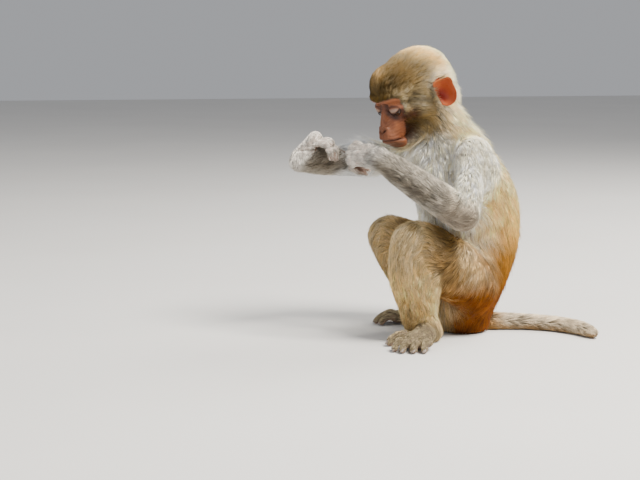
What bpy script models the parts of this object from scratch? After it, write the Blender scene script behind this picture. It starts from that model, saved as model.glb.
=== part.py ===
"""A young rhesus macaque as a life-size museum model, sitting on its rump with both
hands raised in front of its face to groom.

The model faces -Y, its own left side is +X and the floor is z = 0. The origin is the
middle of the flat that it sits on. Every solid is drawn out to the tips of the coat.
Sizes in the tables are millimetres.
"""

import math

import bmesh
import bpy
from mathutils import Matrix, Vector

MM = 0.001
GAP = 0.45  # clearance that a piece keeps to the neighbour that cuts it

# Head frame: the point midway between the ear openings, and how the head is turned.
HEAD_CENTRE = (0, -43, 282)
HEAD_TURN_DEG = 20  # towards the animal's left
HEAD_NOD_DEG = 27  # looking down at its hands
EYE_RADIUS = 9.0
EYE_FORWARD, EYE_ASIDE, EYE_ABOVE = 49.0, 14.5, 5.0

# Trunk from rump to shoulders: x, y, z, half width, half depth
TRUNK = (
    (0, 2, 4, 28, 24),
    (0, 2, 22, 40, 31),
    (0, 6, 48, 48, 41),
    (0, 13, 80, 54, 50),
    (0, 16, 112, 57, 56),
    (0, 11, 144, 58, 60),
    (0, -0.5, 176, 56, 56.5),
    (0, -8, 204, 45, 47),
)
NECK = ((0, -6, 200, 42, 41), (0, -17, 228, 38, 35), (0, -32, 258, 36, 30))
TAIL = (
    (0, 14, 12.5, 12, 12),
    (1, 40, 10, 11.5, 11.5),
    (8, 76, 9, 11, 10.5),
    (27, 109, 8.6, 10.5, 10),
    (56, 130, 8, 10, 9.5),
    (84, 138, 6.6, 7.5, 7.5),
)

# Joints of each limb. The left arm is folded, and the right arm reaches past it.
JOINTS = {
    "left": {
        "hip": (40, 8, 58),
        "knee": (72, -73, 117),
        "ankle": (62, -62, 26),
        "heel": (60, -46, 9),
        "foot_turn_deg": 56,
        "shoulder": (42, 6, 208),
        "elbow": (114, -25, 148),
        "wrist": (58, -108, 208),
        "knuckles": (38, -136, 213),
        "palm_faces": (-0.85, 0.2, -0.45),
    },
    "right": {
        "hip": (-40, 8, 58),
        "knee": (-90, -66, 105),
        "ankle": (-54, -14, 26),
        "heel": (-52, 4, 9),
        "foot_turn_deg": 4,
        "shoulder": (-42, 0, 210),
        "elbow": (-66, -88, 197),
        "wrist": (-21, -186, 200),
        "knuckles": (-15, -168, 227),
        "palm_faces": (0.2, 0.75, -0.6),
    },
}
# How far each joint of a finger is bent, from the knuckle out, and how fingers fan
FINGER_BEND_DEG = {"left": (62, 62, 36), "right": (60, 52, 30)}
FINGER_FAN_DEG = 3.5

LIMB_SIDES = 14
PALM_LENGTH = 33
FOOT_LENGTH = 66  # heel to the roots of the toes

COLOURS = {
    "back": (0.47, 0.33, 0.18),
    "pale": (0.62, 0.56, 0.48),
    "limb": (0.55, 0.42, 0.27),
    "bare": (0.55, 0.24, 0.13),
    "hand": (0.42, 0.33, 0.29),
    "eye": (0.10, 0.05, 0.03),
}


# ---------------------------------------------------------------- materials


def finish(name, roughness=0.85):
    """The Principled material of one named colour."""
    found = bpy.data.materials.get(name)
    if found:
        return found
    made = bpy.data.materials.new(name)
    made.use_nodes = True
    shader = made.node_tree.nodes["Principled BSDF"]
    shader.inputs["Base Color"].default_value = (*COLOURS[name], 1)
    shader.inputs["Roughness"].default_value = roughness
    shader.inputs["Metallic"].default_value = 0
    return made


# ---------------------------------------------------------------- basic forms


def between(a, b, share):
    return tuple(p + (q - p) * share for p, q in zip(a, b))


def rows_through(stations, steps):
    """Catmull-Rom rows through the stations, which hold a place and two radii."""
    ends = [stations[0], *stations, stations[-1]]
    rows = []
    for before, start, end, after in zip(ends, ends[1:], ends[2:], ends[3:]):
        for step in range(steps):
            t = step / steps
            rows.append(
                [
                    0.5
                    * (
                        2 * s
                        + (e - b) * t
                        + (2 * b - 5 * s + 4 * e - a) * t**2
                        + (3 * s - b - 3 * e + a) * t**3
                    )
                    for b, s, e, a in zip(before, start, end, after)
                ]
            )
    rows.append(list(stations[-1]))
    return rows


def with_domes(rows, tangents):
    """Adds three shrinking rows past each end, so that a tube ends in a dome."""
    dome = (75, 50, 25)
    start, end = rows[0], rows[-1]

    def shrunk(row, tangent, angle, way):
        reach = min(row[3], row[4]) * math.sin(math.radians(angle)) * way
        size = math.cos(math.radians(angle))
        place = Vector(row[:3]) + tangent * reach
        return [*place, row[3] * size, row[4] * size]

    head = [shrunk(start, tangents[0], angle, -1) for angle in dome]
    tail = [shrunk(end, tangents[-1], angle, 1) for angle in reversed(dome)]
    return (
        head + rows + tail,
        [tangents[0]] * len(dome) + tangents + [tangents[-1]] * len(dome),
    )


def tube(stations, across=(1, 0, 0), steps=4, sides=LIMB_SIDES):
    """A closed bmesh tube of elliptical sections with domed ends."""
    rows = rows_through(stations, steps)
    places = [Vector(row[:3]) for row in rows]
    tangents = [
        (places[min(i + 1, len(places) - 1)] - places[max(i - 1, 0)]).normalized()
        for i in range(len(places))
    ]
    rows, tangents = with_domes(rows, tangents)
    form = bmesh.new()
    rings = []
    for row, tangent in zip(rows, tangents):
        wide = Vector(across) - tangent * tangent.dot(Vector(across))
        wide.normalize()
        deep = tangent.cross(wide)
        ring = []
        for k in range(sides):
            angle = 2 * math.pi * k / sides
            offset = wide * row[3] * math.cos(angle) + deep * row[4] * math.sin(angle)
            ring.append(form.verts.new((Vector(row[:3]) + offset) * MM))
        rings.append(ring)
    for low, high in zip(rings, rings[1:]):
        for k in range(sides):
            n = (k + 1) % sides
            form.faces.new((low[k], low[n], high[n], high[k]))
    form.faces.new(reversed(rings[0]))
    form.faces.new(rings[-1])
    return form


def ball(centre, radii, axes=None, around=24, rings=14):
    """A closed bmesh ellipsoid. axes is a 3x3 matrix whose columns it lies along."""
    form = bmesh.new()
    turn = (axes or Matrix.Identity(3)).to_4x4()
    size = Matrix.Diagonal((*(Vector(radii) * MM), 1))
    place = Matrix.Translation(Vector(centre) * MM)
    bmesh.ops.create_uvsphere(
        form,
        u_segments=around,
        v_segments=rings,
        radius=1,
        matrix=place @ turn @ size,
    )
    return form


# ---------------------------------------------------------------- objects


def as_object(name, form):
    mesh = bpy.data.meshes.new(name)
    form.to_mesh(mesh)
    form.free()
    made = bpy.data.objects.new(name, mesh)
    bpy.context.scene.collection.objects.link(made)
    return made


def settle(obj):
    """Replaces the object's mesh by what its modifiers make of it."""
    bpy.context.view_layer.update()
    graph = bpy.context.evaluated_depsgraph_get()
    old = obj.data
    obj.data = bpy.data.meshes.new_from_object(obj.evaluated_get(graph))
    obj.data.name = obj.name
    obj.modifiers.clear()
    bpy.data.meshes.remove(old)


def fused(name, forms, voxel, rounds, triangles):
    """One closed, softly blended object made of overlapping closed forms."""
    whole = bmesh.new()
    for form in forms:
        loose = bpy.data.meshes.new("loose")
        form.to_mesh(loose)
        form.free()
        whole.from_mesh(loose)
        bpy.data.meshes.remove(loose)
    bmesh.ops.recalc_face_normals(whole, faces=whole.faces)
    made = as_object(name, whole)
    remesh = made.modifiers.new("blend", "REMESH")
    remesh.mode = "VOXEL"
    remesh.voxel_size = voxel * MM
    soften = made.modifiers.new("soften", "SMOOTH")
    soften.factor = 0.5
    soften.iterations = rounds
    settle(made)
    fewer = made.modifiers.new("fewer", "DECIMATE")
    fewer.ratio = triangles / (2 * len(made.data.polygons))
    settle(made)
    return made


def largest_piece(obj):
    """Drops the crumbs that a cut leaves, and keeps the largest closed piece."""
    form = bmesh.new()
    form.from_mesh(obj.data)
    bmesh.ops.triangulate(form, faces=form.faces)
    left = set(form.verts)
    pieces = []
    while left:
        piece = set()
        front = [left.pop()]
        while front:
            vertex = front.pop()
            piece.add(vertex)
            near = {edge.other_vert(vertex) for edge in vertex.link_edges} & left
            left -= near
            front.extend(near)
        pieces.append(piece)
    pieces.sort(key=len)
    crumbs = [vertex for piece in pieces[:-1] for vertex in piece]
    bmesh.ops.delete(form, geom=crumbs, context="VERTS")
    form.to_mesh(obj.data)
    form.free()


def cut(obj, cutter):
    """Takes the cutter out of obj and removes the cutter."""
    cutter.hide_render = True
    cutter.display_type = "WIRE"
    taken = obj.modifiers.new("cut", "BOOLEAN")
    taken.operation = "DIFFERENCE"
    taken.solver = "EXACT"
    taken.object = cutter
    settle(obj)
    bpy.data.objects.remove(cutter)
    largest_piece(obj)


def clear_of(obj, *neighbours):
    """Cuts obj back from each finished neighbour, with the gap between them."""
    for neighbour in neighbours:
        swollen = bmesh.new()
        swollen.from_mesh(neighbour.data)
        swollen.normal_update()
        for vertex in swollen.verts:
            vertex.co += vertex.normal * GAP * MM
        cut(obj, as_object("cutter", swollen))


def trimmed(obj, place, away):
    """Cuts obj off flat at a place, on the side that the vector away points to."""
    form = bmesh.new()
    form.from_mesh(obj.data)
    away = Vector(away).normalized()
    everything = [*form.verts, *form.edges, *form.faces]
    bmesh.ops.bisect_plane(
        form,
        geom=everything,
        dist=0.01 * MM,
        plane_co=(Vector(place) - away * GAP / 2) * MM,
        plane_no=away,
        clear_outer=True,
    )
    rim = [edge for edge in form.edges if edge.is_boundary]
    cap = bmesh.ops.holes_fill(form, edges=rim, sides=0)["faces"]
    bmesh.ops.triangulate(form, faces=cap)
    form.to_mesh(obj.data)
    form.free()
    return obj


def fold(joint, above, below):
    """Normal of the flat in which two limb segments meet, towards the lower one."""
    up = (Vector(above) - Vector(joint)).normalized()
    down = (Vector(below) - Vector(joint)).normalized()
    return (down - up).normalized()


def stand_on_floor(obj):
    """Cuts a flat at floor level."""
    slab = bmesh.new()
    side, depth = 900 * MM, 60 * MM
    matrix = Matrix.Translation((0, 0, -depth / 2)) @ Matrix.Diagonal(
        (side, side, depth, 1)
    )
    bmesh.ops.create_cube(slab, size=1, matrix=matrix)
    cut(obj, as_object("floor_cutter", slab))


def finished(obj, colour):
    obj.data.materials.clear()
    obj.data.materials.append(finish(colour))
    obj.data.shade_smooth()
    return obj


# ---------------------------------------------------------------- head


def head_axes():
    """Columns: forward, left and up of the head."""
    turn, nod = math.radians(HEAD_TURN_DEG), math.radians(HEAD_NOD_DEG)
    level = Vector((math.sin(turn), -math.cos(turn), 0))
    up = Vector((0, 0, 1))
    forward = level * math.cos(nod) - up * math.sin(nod)
    crown = level * math.sin(nod) + up * math.cos(nod)
    left = crown.cross(forward)
    return Matrix((forward, left, crown)).transposed()


def on_head(forward, left, up):
    return tuple(Vector(HEAD_CENTRE) + head_axes() @ Vector((forward, left, up)))


def head_ball(centre, radii):
    return ball(on_head(*centre), radii, head_axes())


def head_tube(stations, across, steps=4):
    placed = [(*on_head(*row[:3]), *row[3:]) for row in stations]
    return tube(placed, tuple(head_axes() @ Vector(across)), steps)


def make_eye(name, side):
    place = on_head(EYE_FORWARD, side * EYE_ASIDE, EYE_ABOVE)
    form = ball(place, (EYE_RADIUS, EYE_RADIUS, EYE_RADIUS), head_axes(), 16, 10)
    return finished(as_object(name, form), "eye")


def make_head(eyes):
    """Skull with its coat, bare face with brow, cheeks, muzzle, lips and chin."""
    forms = [
        head_ball((5, 0, 17), (45, 41, 37)),  # cranium
        head_ball((-12, 0, 7), (27, 37, 31)),  # occiput
        head_ball((34, 0, 24), (28, 33, 26)),  # forehead
        head_ball((-12, 0, -15), (30, 34, 27)),  # ruff over the nape
        head_ball((20, 0, -12), (33, 36, 24)),  # cheek coat
        head_tube(  # muzzle, from between the cheeks to the lips
            (
                (30, 0, -13, 27, 24),
                (46, 0, -15, 21, 20),
                (58, 0, -20, 17, 15.5),
                (64, 0, -23, 14.5, 12.5),
            ),
            (0, 1, 0),
        ),
        head_tube(  # bridge and tip of the nose
            ((51, 0, 10, 8, 8), (59, 0, -2, 6.5, 7), (65, 0, -12, 6, 6.5)), (0, 1, 0)
        ),
        head_tube(  # lower jaw and chin
            (
                (22, 0, -28, 24, 14),
                (41, 0, -33, 18, 12),
                (53, 0, -36, 13, 9.5),
                (64, 0, -31.5, 10.5, 7.5),
            ),
            (0, 1, 0),
        ),
        head_tube(  # brow ridge
            (
                (45, -27, 15, 7, 7),
                (54, -14, 18, 7, 7.5),
                (57, 0, 18.5, 7, 7.5),
                (54, 14, 18, 7, 7.5),
                (45, 27, 15, 7, 7),
            ),
            (0, 0, 1),
        ),
    ]
    for side in (-1, 1):
        forms.append(head_ball((40, side * 23, -6), (12, 11, 12)))  # cheekbone
    head = fused("head", forms, 2.2, 3, 900)
    for side in (-1, 1):  # eye sockets open forwards and a little aside
        place = (EYE_FORWARD + 10.5, side * (EYE_ASIDE + 2), EYE_ABOVE)
        socket = ball(on_head(*place), (9, 9.5, 7.2), head_axes(), 14, 8)
        cut(head, as_object("socket", socket))
    clear_of(head, *eyes)
    return finished(head, "pale")


def make_ear(name, side, neighbours):
    """A thin ear, hollowed towards the front, with a corner up at the back."""
    root = Vector((13.5, side * 35, -1.5))
    back = Vector((-0.80, side * 0.60, 0.0)).normalized()
    up = Vector((-0.22, side * 0.05, 0.97))
    up = (up - back * up.dot(back)).normalized()
    out = back.cross(up) * side
    rings, spokes, thick = 4, 18, 2.6
    form = bmesh.new()

    def towards(angle, degrees, power):
        return max(0, math.cos(angle - math.radians(degrees))) ** power

    def spot(ring, k):
        angle = 2 * math.pi * k / spokes + math.radians(11)
        corners = 0.28 * towards(angle, 51, 14) + 0.27 * towards(angle, 122, 10)
        reach = ring / rings * (0.87 + corners + 0.1 * towards(angle, 85, 10))
        along = 15 + 15 * math.cos(angle) * reach
        rise = 18 * math.sin(angle) * reach
        bowl = -5.5 * (1 - reach**2) + 1.5 * reach
        return Vector(on_head(*(root + back * along + up * rise + out * bowl))) * MM

    middle = form.verts.new(spot(0, 0))
    loops = [
        [form.verts.new(spot(ring, k)) for k in range(spokes)]
        for ring in range(1, rings + 1)
    ]
    for k in range(spokes):
        n = (k + 1) % spokes
        form.faces.new((middle, loops[0][k], loops[0][n]))
        for inner, outer in zip(loops, loops[1:]):
            form.faces.new((inner[k], outer[k], outer[n], inner[n]))
    ear = as_object(name, form)
    wall = ear.modifiers.new("wall", "SOLIDIFY")
    wall.thickness = thick * MM
    wall.offset = 0
    settle(ear)
    solid = bmesh.new()
    solid.from_mesh(ear.data)
    bmesh.ops.recalc_face_normals(solid, faces=solid.faces)
    solid.to_mesh(ear.data)
    solid.free()
    clear_of(ear, *neighbours)
    return finished(ear, "bare")


# ---------------------------------------------------------------- trunk


def make_trunk():
    """Rump, belly, chest and shoulders, with the pads that it sits on."""
    forms = [tube(TRUNK, sides=24)]
    forms.append(ball((-2, -38, 200), (37, 31, 30)))  # throat fur
    forms.append(ball((0, -8, 122), (44, 43, 46)))  # belly
    for side in (-1, 1):
        forms.append(ball((side * 34, 7, 202), (24, 28, 26)))  # shoulder
        forms.append(ball((side * 36, 10, 62), (35, 31, 44)))  # haunch
        forms.append(ball((side * 27, 22, 168), (26, 34, 38)))  # shoulder blade
        forms.append(ball((side * 22, -34, 176), (27, 26, 30)))  # breast
        forms.append(ball((side * 15, 7, 12), (16, 20, 16)))  # seat pad
    trunk = fused("trunk", forms, 4, 4, 1000)
    stand_on_floor(trunk)
    return finished(trunk, "back")


# ---------------------------------------------------------------- limbs


def make_thigh(name, joints, neighbours):
    hip, knee = joints["hip"], joints["knee"]
    forms = [
        tube(
            (
                (*hip, 25, 31),
                (*between(hip, knee, 0.45), 31, 38),
                (*between(hip, knee, 0.85), 26, 30),
                (*knee, 23, 26),
            )
        )
    ]
    thigh = fused(name, forms, 3.5, 2, 380)
    trimmed(thigh, knee, fold(knee, hip, joints["ankle"]))
    clear_of(thigh, *neighbours)
    return finished(thigh, "limb")


def make_shin(name, joints, neighbours):
    hip, knee, ankle = joints["hip"], joints["knee"], joints["ankle"]
    forms = [
        tube(
            (
                (*knee, 23, 26),
                (*between(knee, ankle, 0.42), 25, 32.5),
                (*between(knee, ankle, 0.72), 21, 27),
                (*between(knee, ankle, 1.1), 16, 20),
            )
        )
    ]
    shin = fused(name, forms, 3.5, 2, 330)
    trimmed(shin, knee, -fold(knee, hip, ankle))
    trimmed(shin, ankle, (0, 0, -1))
    clear_of(shin, *neighbours)
    return finished(shin, "limb")


def make_foot(name, joints, side, trunk):
    """Heel, sole, four long toes and a big toe set apart from them."""
    heel = Vector(joints["heel"])
    turn = math.radians(joints["foot_turn_deg"]) * side
    ahead = Vector((math.sin(turn), -math.cos(turn), 0))
    inward = Vector((-side * math.cos(turn), -math.sin(turn) * side, 0))
    up = Vector((0, 0, 1))

    def place(along, inner, height):
        spot = heel + ahead * along + inward * inner
        return (spot.x, spot.y, height)

    across = tuple(inward)
    ankle = joints["ankle"]
    forms = [
        tube(
            (
                (*place(0, 0, 9), 11, 9.5),
                (*place(22, 0, 11), 12, 11),
                (*place(44, -1, 9.5), 15, 9),
                (*place(FOOT_LENGTH, -2, 7.5), 17, 7),
            ),
            across,
        ),
        tube(
            (
                (*between(ankle, joints["knee"], 0.12), 17, 21),
                (*ankle, 16, 20),
                (*place(13, 0, 12), 13, 15),
            )
        ),
    ]
    for k in range(4):
        inner = 12 - 9 * k
        spread = math.radians(5 - 4 * k)
        length = (27, 30, 28, 24)[k]
        root = place(FOOT_LENGTH - 5 - 1.5 * abs(k - 1), inner - 2, 7.5)
        aim = ahead * math.cos(spread) + inward * math.sin(spread)
        forms.append(toe(root, aim, length, across))
    big = ahead * math.cos(math.radians(42)) + inward * math.sin(math.radians(42))
    forms.append(toe(place(30, 9, 8), big, 34, across, 5.4))
    foot = fused(name, forms, 1.7, 1, 520)
    trimmed(foot, ankle, (0, 0, 1))
    stand_on_floor(foot)
    clear_of(foot, trunk)
    return finished(foot, "hand")


def toe(root, aim, length, across, radius=4.6):
    """One toe, arched over its middle joint and resting on its tip."""
    root = Vector(root)
    knee = root + aim * length * 0.48 + Vector((0, 0, 3.2))
    tip = root + aim * length
    tip.z = radius * 0.85
    return tube(
        (
            (*root, radius + 0.4, radius),
            (*knee, radius, radius),
            (*tip, radius * 0.85, radius * 0.8),
        ),
        across,
        sides=10,
    )


def make_upper_arm(name, joints, neighbours):
    shoulder, elbow = joints["shoulder"], joints["elbow"]
    forms = [
        tube(
            (
                (*shoulder, 23, 24),
                (*between(shoulder, elbow, 0.5), 19, 20),
                (*elbow, 17, 18),
            ),
            (0, 1, 0.2),
        )
    ]
    arm = fused(name, forms, 3, 2, 300)
    trimmed(arm, elbow, fold(elbow, shoulder, joints["wrist"]))
    clear_of(arm, *neighbours)
    return finished(arm, "pale")


def make_forearm(name, joints, neighbours):
    shoulder, elbow, wrist = joints["shoulder"], joints["elbow"], joints["wrist"]
    forms = [
        tube(
            (
                (*elbow, 17, 19),
                (*between(elbow, wrist, 0.3), 17, 19.5),
                (*between(elbow, wrist, 0.75), 14.5, 17),
                (*wrist, 12, 12.5),
            )
        )
    ]
    arm = fused(name, forms, 3, 2, 300)
    trimmed(arm, elbow, -fold(elbow, shoulder, wrist))
    trimmed(arm, wrist, fold(wrist, elbow, joints["knuckles"]))
    clear_of(arm, *neighbours)
    return finished(arm, "pale")


def make_hand(name, joints, side, bends, neighbours):
    """Palm, four bent fingers and a thumb. The thumb is on the inner side."""
    wrist = Vector(joints["wrist"])
    ahead = (Vector(joints["knuckles"]) - wrist).normalized()
    palm = Vector(joints["palm_faces"])
    palm = (palm - ahead * palm.dot(ahead)).normalized()
    thumb_side = palm.cross(ahead) * side
    across = tuple(thumb_side)

    def place(along, inner, down):
        return wrist + ahead * along + thumb_side * inner + palm * down

    forms = [
        tube(
            (
                (*place(0, 0, 0), 12, 12),
                (*place(18, 0, 0), 13.5, 10),
                (*place(PALM_LENGTH, 0, 0), 15.5, 8.5),
            ),
            across,
        )
    ]
    for k in range(4):
        inner = 11 - 7.4 * k
        fan = math.radians(FINGER_FAN_DEG * (1.5 - k))
        aim = ahead * math.cos(fan) + thumb_side * math.sin(fan)
        lengths = [part * (0.93, 1.0, 0.97, 0.84)[k] for part in (19, 12.5, 9.5)]
        root = place(PALM_LENGTH - 3 - 1.2 * abs(k - 1), inner, -1)
        forms.append(finger(root, aim, palm, lengths, bends, across))
    aim = (ahead * 0.75 + thumb_side * 0.55 + palm * 0.45).normalized()
    root = place(12, 9, 3)
    forms.append(finger(root, aim, palm, (17, 11, 7), (18, 22, 15), across, 4.8))
    hand = fused(name, forms, 1.6, 1, 560)
    trimmed(hand, wrist, -fold(wrist, joints["elbow"], joints["knuckles"]))
    clear_of(hand, *neighbours)
    return finished(hand, "hand")


def finger(root, aim, palm, lengths, bends, across, radius=4.3):
    """One finger that bends towards the palm at each of its joints."""
    place, angle = Vector(root), 0
    rows = [(*place, radius + 0.5, radius)]
    thin = radius
    for length, bend in zip(lengths, bends):
        angle += math.radians(bend)
        place = place + (aim * math.cos(angle) + palm * math.sin(angle)) * length
        thin *= 0.94
        rows.append((*place, thin, thin))
    return tube(rows, across, sides=10)


# ---------------------------------------------------------------- the animal


def make_macaque():
    trunk = make_trunk()
    neck = fused("neck", [tube(NECK, sides=20)], 3.5, 2, 260)
    clear_of(neck, trunk)
    finished(neck, "back")
    tail = fused("tail", [tube(TAIL, steps=6)], 2.5, 1, 420)
    stand_on_floor(tail)
    clear_of(tail, trunk)
    finished(tail, "limb")
    eyes = [make_eye("eye_left", 1), make_eye("eye_right", -1)]
    head = make_head(eyes)
    clear_of(head, neck, trunk)
    finished(head, "pale")
    make_ear("ear_left", 1, (head, neck))
    make_ear("ear_right", -1, (head, neck))
    hands = []
    for word, side in (("left", 1), ("right", -1)):
        joints = JOINTS[word]
        thigh = make_thigh(f"thigh_{word}", joints, (trunk, tail))
        shin = make_shin(f"shin_{word}", joints, (trunk,))
        make_foot(f"foot_{word}", joints, side, trunk)
        upper = make_upper_arm(f"upper_arm_{word}", joints, (trunk, neck, head))
        lower = make_forearm(f"forearm_{word}", joints, (trunk, head, thigh))
        bends = FINGER_BEND_DEG[word]
        make_hand(f"hand_{word}", joints, side, bends, hands)
        hands.append(bpy.data.objects[f"hand_{word}"])


for thing in list(bpy.data.objects):
    bpy.data.objects.remove(thing)
make_macaque()
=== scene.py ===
import math

import bmesh
import bpy
import numpy as np
from mathutils import Matrix, Vector
from mathutils.bvhtree import BVHTree
from mathutils.kdtree import KDTree


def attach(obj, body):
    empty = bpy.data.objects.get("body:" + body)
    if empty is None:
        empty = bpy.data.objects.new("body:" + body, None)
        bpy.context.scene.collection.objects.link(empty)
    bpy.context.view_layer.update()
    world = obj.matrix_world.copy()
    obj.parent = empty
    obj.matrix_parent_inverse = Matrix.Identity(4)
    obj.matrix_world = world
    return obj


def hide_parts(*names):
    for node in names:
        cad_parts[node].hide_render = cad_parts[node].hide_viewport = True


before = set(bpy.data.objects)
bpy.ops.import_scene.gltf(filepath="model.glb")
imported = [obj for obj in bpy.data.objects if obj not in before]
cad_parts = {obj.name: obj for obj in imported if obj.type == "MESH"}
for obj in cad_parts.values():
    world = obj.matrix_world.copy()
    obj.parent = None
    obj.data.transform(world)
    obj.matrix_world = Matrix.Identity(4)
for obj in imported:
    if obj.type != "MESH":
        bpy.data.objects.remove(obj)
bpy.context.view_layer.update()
mm = 0.001  # all places and radii are in millimetres, and the body's reach out to the tips of the coat


def smooth(value, low, high):  # 0 below low, 1 above high
    share = np.clip((value - low) / np.maximum(np.asarray(high - low, float), 1e-6), 0, 1)
    return share * share * (3 - 2 * share)


def fall(value, low, high):  # 1 below low, 0 above high
    return 1 - smooth(value, low, high)


def hill(value, middle, width):
    return np.exp(-(((value - middle) / width) ** 2))


def nearby(places, centre, spread, paired=None):  # a hill in space, or a pair of them along one axis
    if paired is not None:
        places = np.where(np.arange(3) == paired, np.abs(places), places)
    return np.exp(-((places - centre) ** 2).sum(axis=1) / spread)


def blendTo(first, second, share):
    share = np.asarray(share)[..., None]
    return np.asarray(first, float) * (1 - share) + np.asarray(second, float) * share


def layered(colour, tones, *steps):  # steps are (tone, share), each laid over the last
    for name, share in steps:
        colour = blendTo(colour, tones[name], share)
    return colour


def ramp(tones, value, *stops):  # stops are (place, tone)
    places, names = zip(*stops)
    return np.stack([np.interp(value, places, [tones[name][i] for name in names]) for i in range(3)], axis=-1)


def unit(vectors):
    return vectors / np.maximum(np.linalg.norm(vectors, axis=-1, keepdims=True), 1e-9)


def grain(points, size, seed):  # soft lumps between -1 and 1, each about size across
    cell = points / size
    low = np.floor(cell).astype(np.int64)
    part = cell - low
    part = part * part * (3 - 2 * part)
    total = np.zeros(len(points))
    for corner in range(8):
        step = np.array((corner & 1, corner >> 1 & 1, corner >> 2 & 1))
        key = low + step
        code = key[:, 0] * 73856093 ^ key[:, 1] * 19349663 ^ key[:, 2] * 83492791 ^ seed * 40503
        code = (code ^ (code >> 13)) * 1274126177 & 0x7FFFFFFF
        code = (code ^ (code >> 11)) & 0xFFFF
        total += (code / 32767.5 - 1) * np.prod(np.where(step, part, 1 - part), axis=1)
    return total


# places on the head are millimetres forward, left and up of its middle
headPose = {"centre": (0, -43, 282), "turnLeft": 20, "nodDown": 27}


def headAxes():
    turn, nod = math.radians(headPose["turnLeft"]), math.radians(headPose["nodDown"])
    level = np.array((math.sin(turn), -math.cos(turn), 0))
    up = np.array((0.0, 0.0, 1.0))
    forward = level * math.cos(nod) - up * math.sin(nod)
    crown = level * math.sin(nod) + up * math.cos(nod)
    return np.stack((forward, np.cross(crown, forward), crown), axis=1)


axesOfHead = headAxes()


def onHead(places):
    return np.asarray(places, float) @ axesOfHead.T + headPose["centre"]


def toHead(points):
    return (points - headPose["centre"]) @ axesOfHead


class Clay:  # closed forms, laid in one another
    def __init__(self):
        self.points, self.faces, self.count = [], [], 0

    def add(self, points, faces):
        self.points.append(np.asarray(points, float))
        self.faces += [tuple(k + self.count for k in face) for face in faces]
        self.count += len(points)

    def ball(self, centre, radii, axes=None, around=36, rings=20):
        turn = np.eye(3) if axes is None else axes
        rows = [math.pi * ring / rings for ring in range(1, rings)]
        spokes = np.arange(around) * 2 * math.pi / around
        grid = [(0, 0, 1)]
        for row in rows:
            reach, height = math.sin(row), math.cos(row)
            grid += [(reach * math.cos(a), reach * math.sin(a), height) for a in spokes]
        grid.append((0, 0, -1))
        points = (np.array(grid) * radii) @ turn.T + centre
        self.add(points, capped(rings - 1, around))

    def tube(self, stations, across=(1, 0, 0), steps=5, sides=28):
        rows = rowsThrough(stations, steps)
        steps = np.arange(len(rows))
        after, before = np.minimum(steps + 1, len(rows) - 1), np.maximum(steps - 1, 0)
        tangents = unit(rows[after, :3] - rows[before, :3])
        domes = np.radians((80, 60, 40, 20))  # the rings that close each end
        ends = []
        for row, out in ((rows[0], -tangents[0]), (rows[-1], tangents[-1])):
            out = out * min(row[3:])
            ends.append([(*(row[:3] + out * math.sin(a)), *(row[3:] * math.cos(a))) for a in domes])
        rows = np.array([*ends[0], *rows, *ends[1][::-1]])
        tangents = np.pad(tangents, ((len(domes), len(domes)), (0, 0)), "edge")
        across = np.asarray(across, float)
        wide = unit(across - tangents * (tangents @ across)[:, None])
        spokes = np.arange(sides) * 2 * math.pi / sides
        ring = rows[:, None, :3]
        for axis, radii, wave in ((wide, rows[:, 3], np.cos), (np.cross(tangents, wide), rows[:, 4], np.sin)):
            ring = ring + axis[:, None] * (radii[:, None] * wave(spokes))[..., None]
        points = np.concatenate((rows[:1, :3], ring.reshape(-1, 3), rows[-1:, :3]))
        self.add(points, capped(len(rows), sides))

    def thrown(self, name):  # the finished lump as an object
        mesh = bpy.data.meshes.new(name)
        mesh.from_pydata((np.concatenate(self.points) * mm).tolist(), [], self.faces)
        made = linked(name, mesh)
        edited(made, bpy.ops.mesh.normals_make_consistent, inside=False)
        return made


def capped(rings, around):  # faces of rings of points between two poles
    faces = []
    last = 1 + rings * around
    for k in range(around):
        n = (k + 1) % around
        faces.append((0, 1 + k, 1 + n))
        faces.append((last, last - around + n, last - around + k))
        for ring in range(rings - 1):
            low, high = 1 + ring * around, 1 + (ring + 1) * around
            faces.append((low + k, high + k, high + n, low + n))
    return faces


def rowsThrough(stations, steps):  # a smooth line through the stations
    rows = []
    ends = np.array([stations[0], *stations, stations[-1]], float)
    for b, s, e, a in zip(ends, ends[1:], ends[2:], ends[3:]):
        for t in (step / steps for step in range(steps)):
            bend = (2 * b - 5 * s + 4 * e - a) * t**2 + (3 * s - b - 3 * e + a) * t**3
            rows.append(0.5 * (2 * s + (e - b) * t + bend))
    rows.append(ends[-1])
    return np.array(rows)


def thinned(line, depth):
    return [(*row[:3], row[3] - depth, row[4] - depth) for row in line]


def between(first, second, share):
    return tuple(p + (q - p) * share for p, q in zip(first, second))


def linked(name, data):
    made = bpy.data.objects.new(name, data)
    bpy.context.scene.collection.objects.link(made)
    return made


def pickOnly(*objects):  # the last one becomes active; with none given, all are let go
    for other in bpy.context.selected_objects:
        other.select_set(False)
    for obj in objects:
        obj.select_set(True)
        bpy.context.view_layer.objects.active = obj


def applied(obj, kind, **settings):
    pickOnly(obj)
    added = obj.modifiers.new(kind.lower(), kind)
    for key, value in settings.items():
        setattr(added, key, value)
    bpy.ops.object.modifier_apply(modifier=added.name)


def edited(obj, step, **settings):
    pickOnly(obj)
    bpy.ops.object.mode_set(mode="EDIT")
    bpy.ops.mesh.select_all(action="SELECT")
    step(**settings)
    bpy.ops.object.mode_set(mode="OBJECT")


def readRows(rows, name):
    flat = np.empty(len(rows) * 3, np.float32)
    rows.foreach_get(name, flat)
    return flat.reshape(-1, 3).astype(float)


def pointsOf(mesh):
    return readRows(mesh.vertices, "co") / mm


def normalsOf(mesh):
    return readRows(mesh.vertex_normals, "vector")


def setPoints(mesh, points):
    mesh.vertices.foreach_set("co", (points * mm).astype(np.float32).ravel())
    mesh.update()


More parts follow.
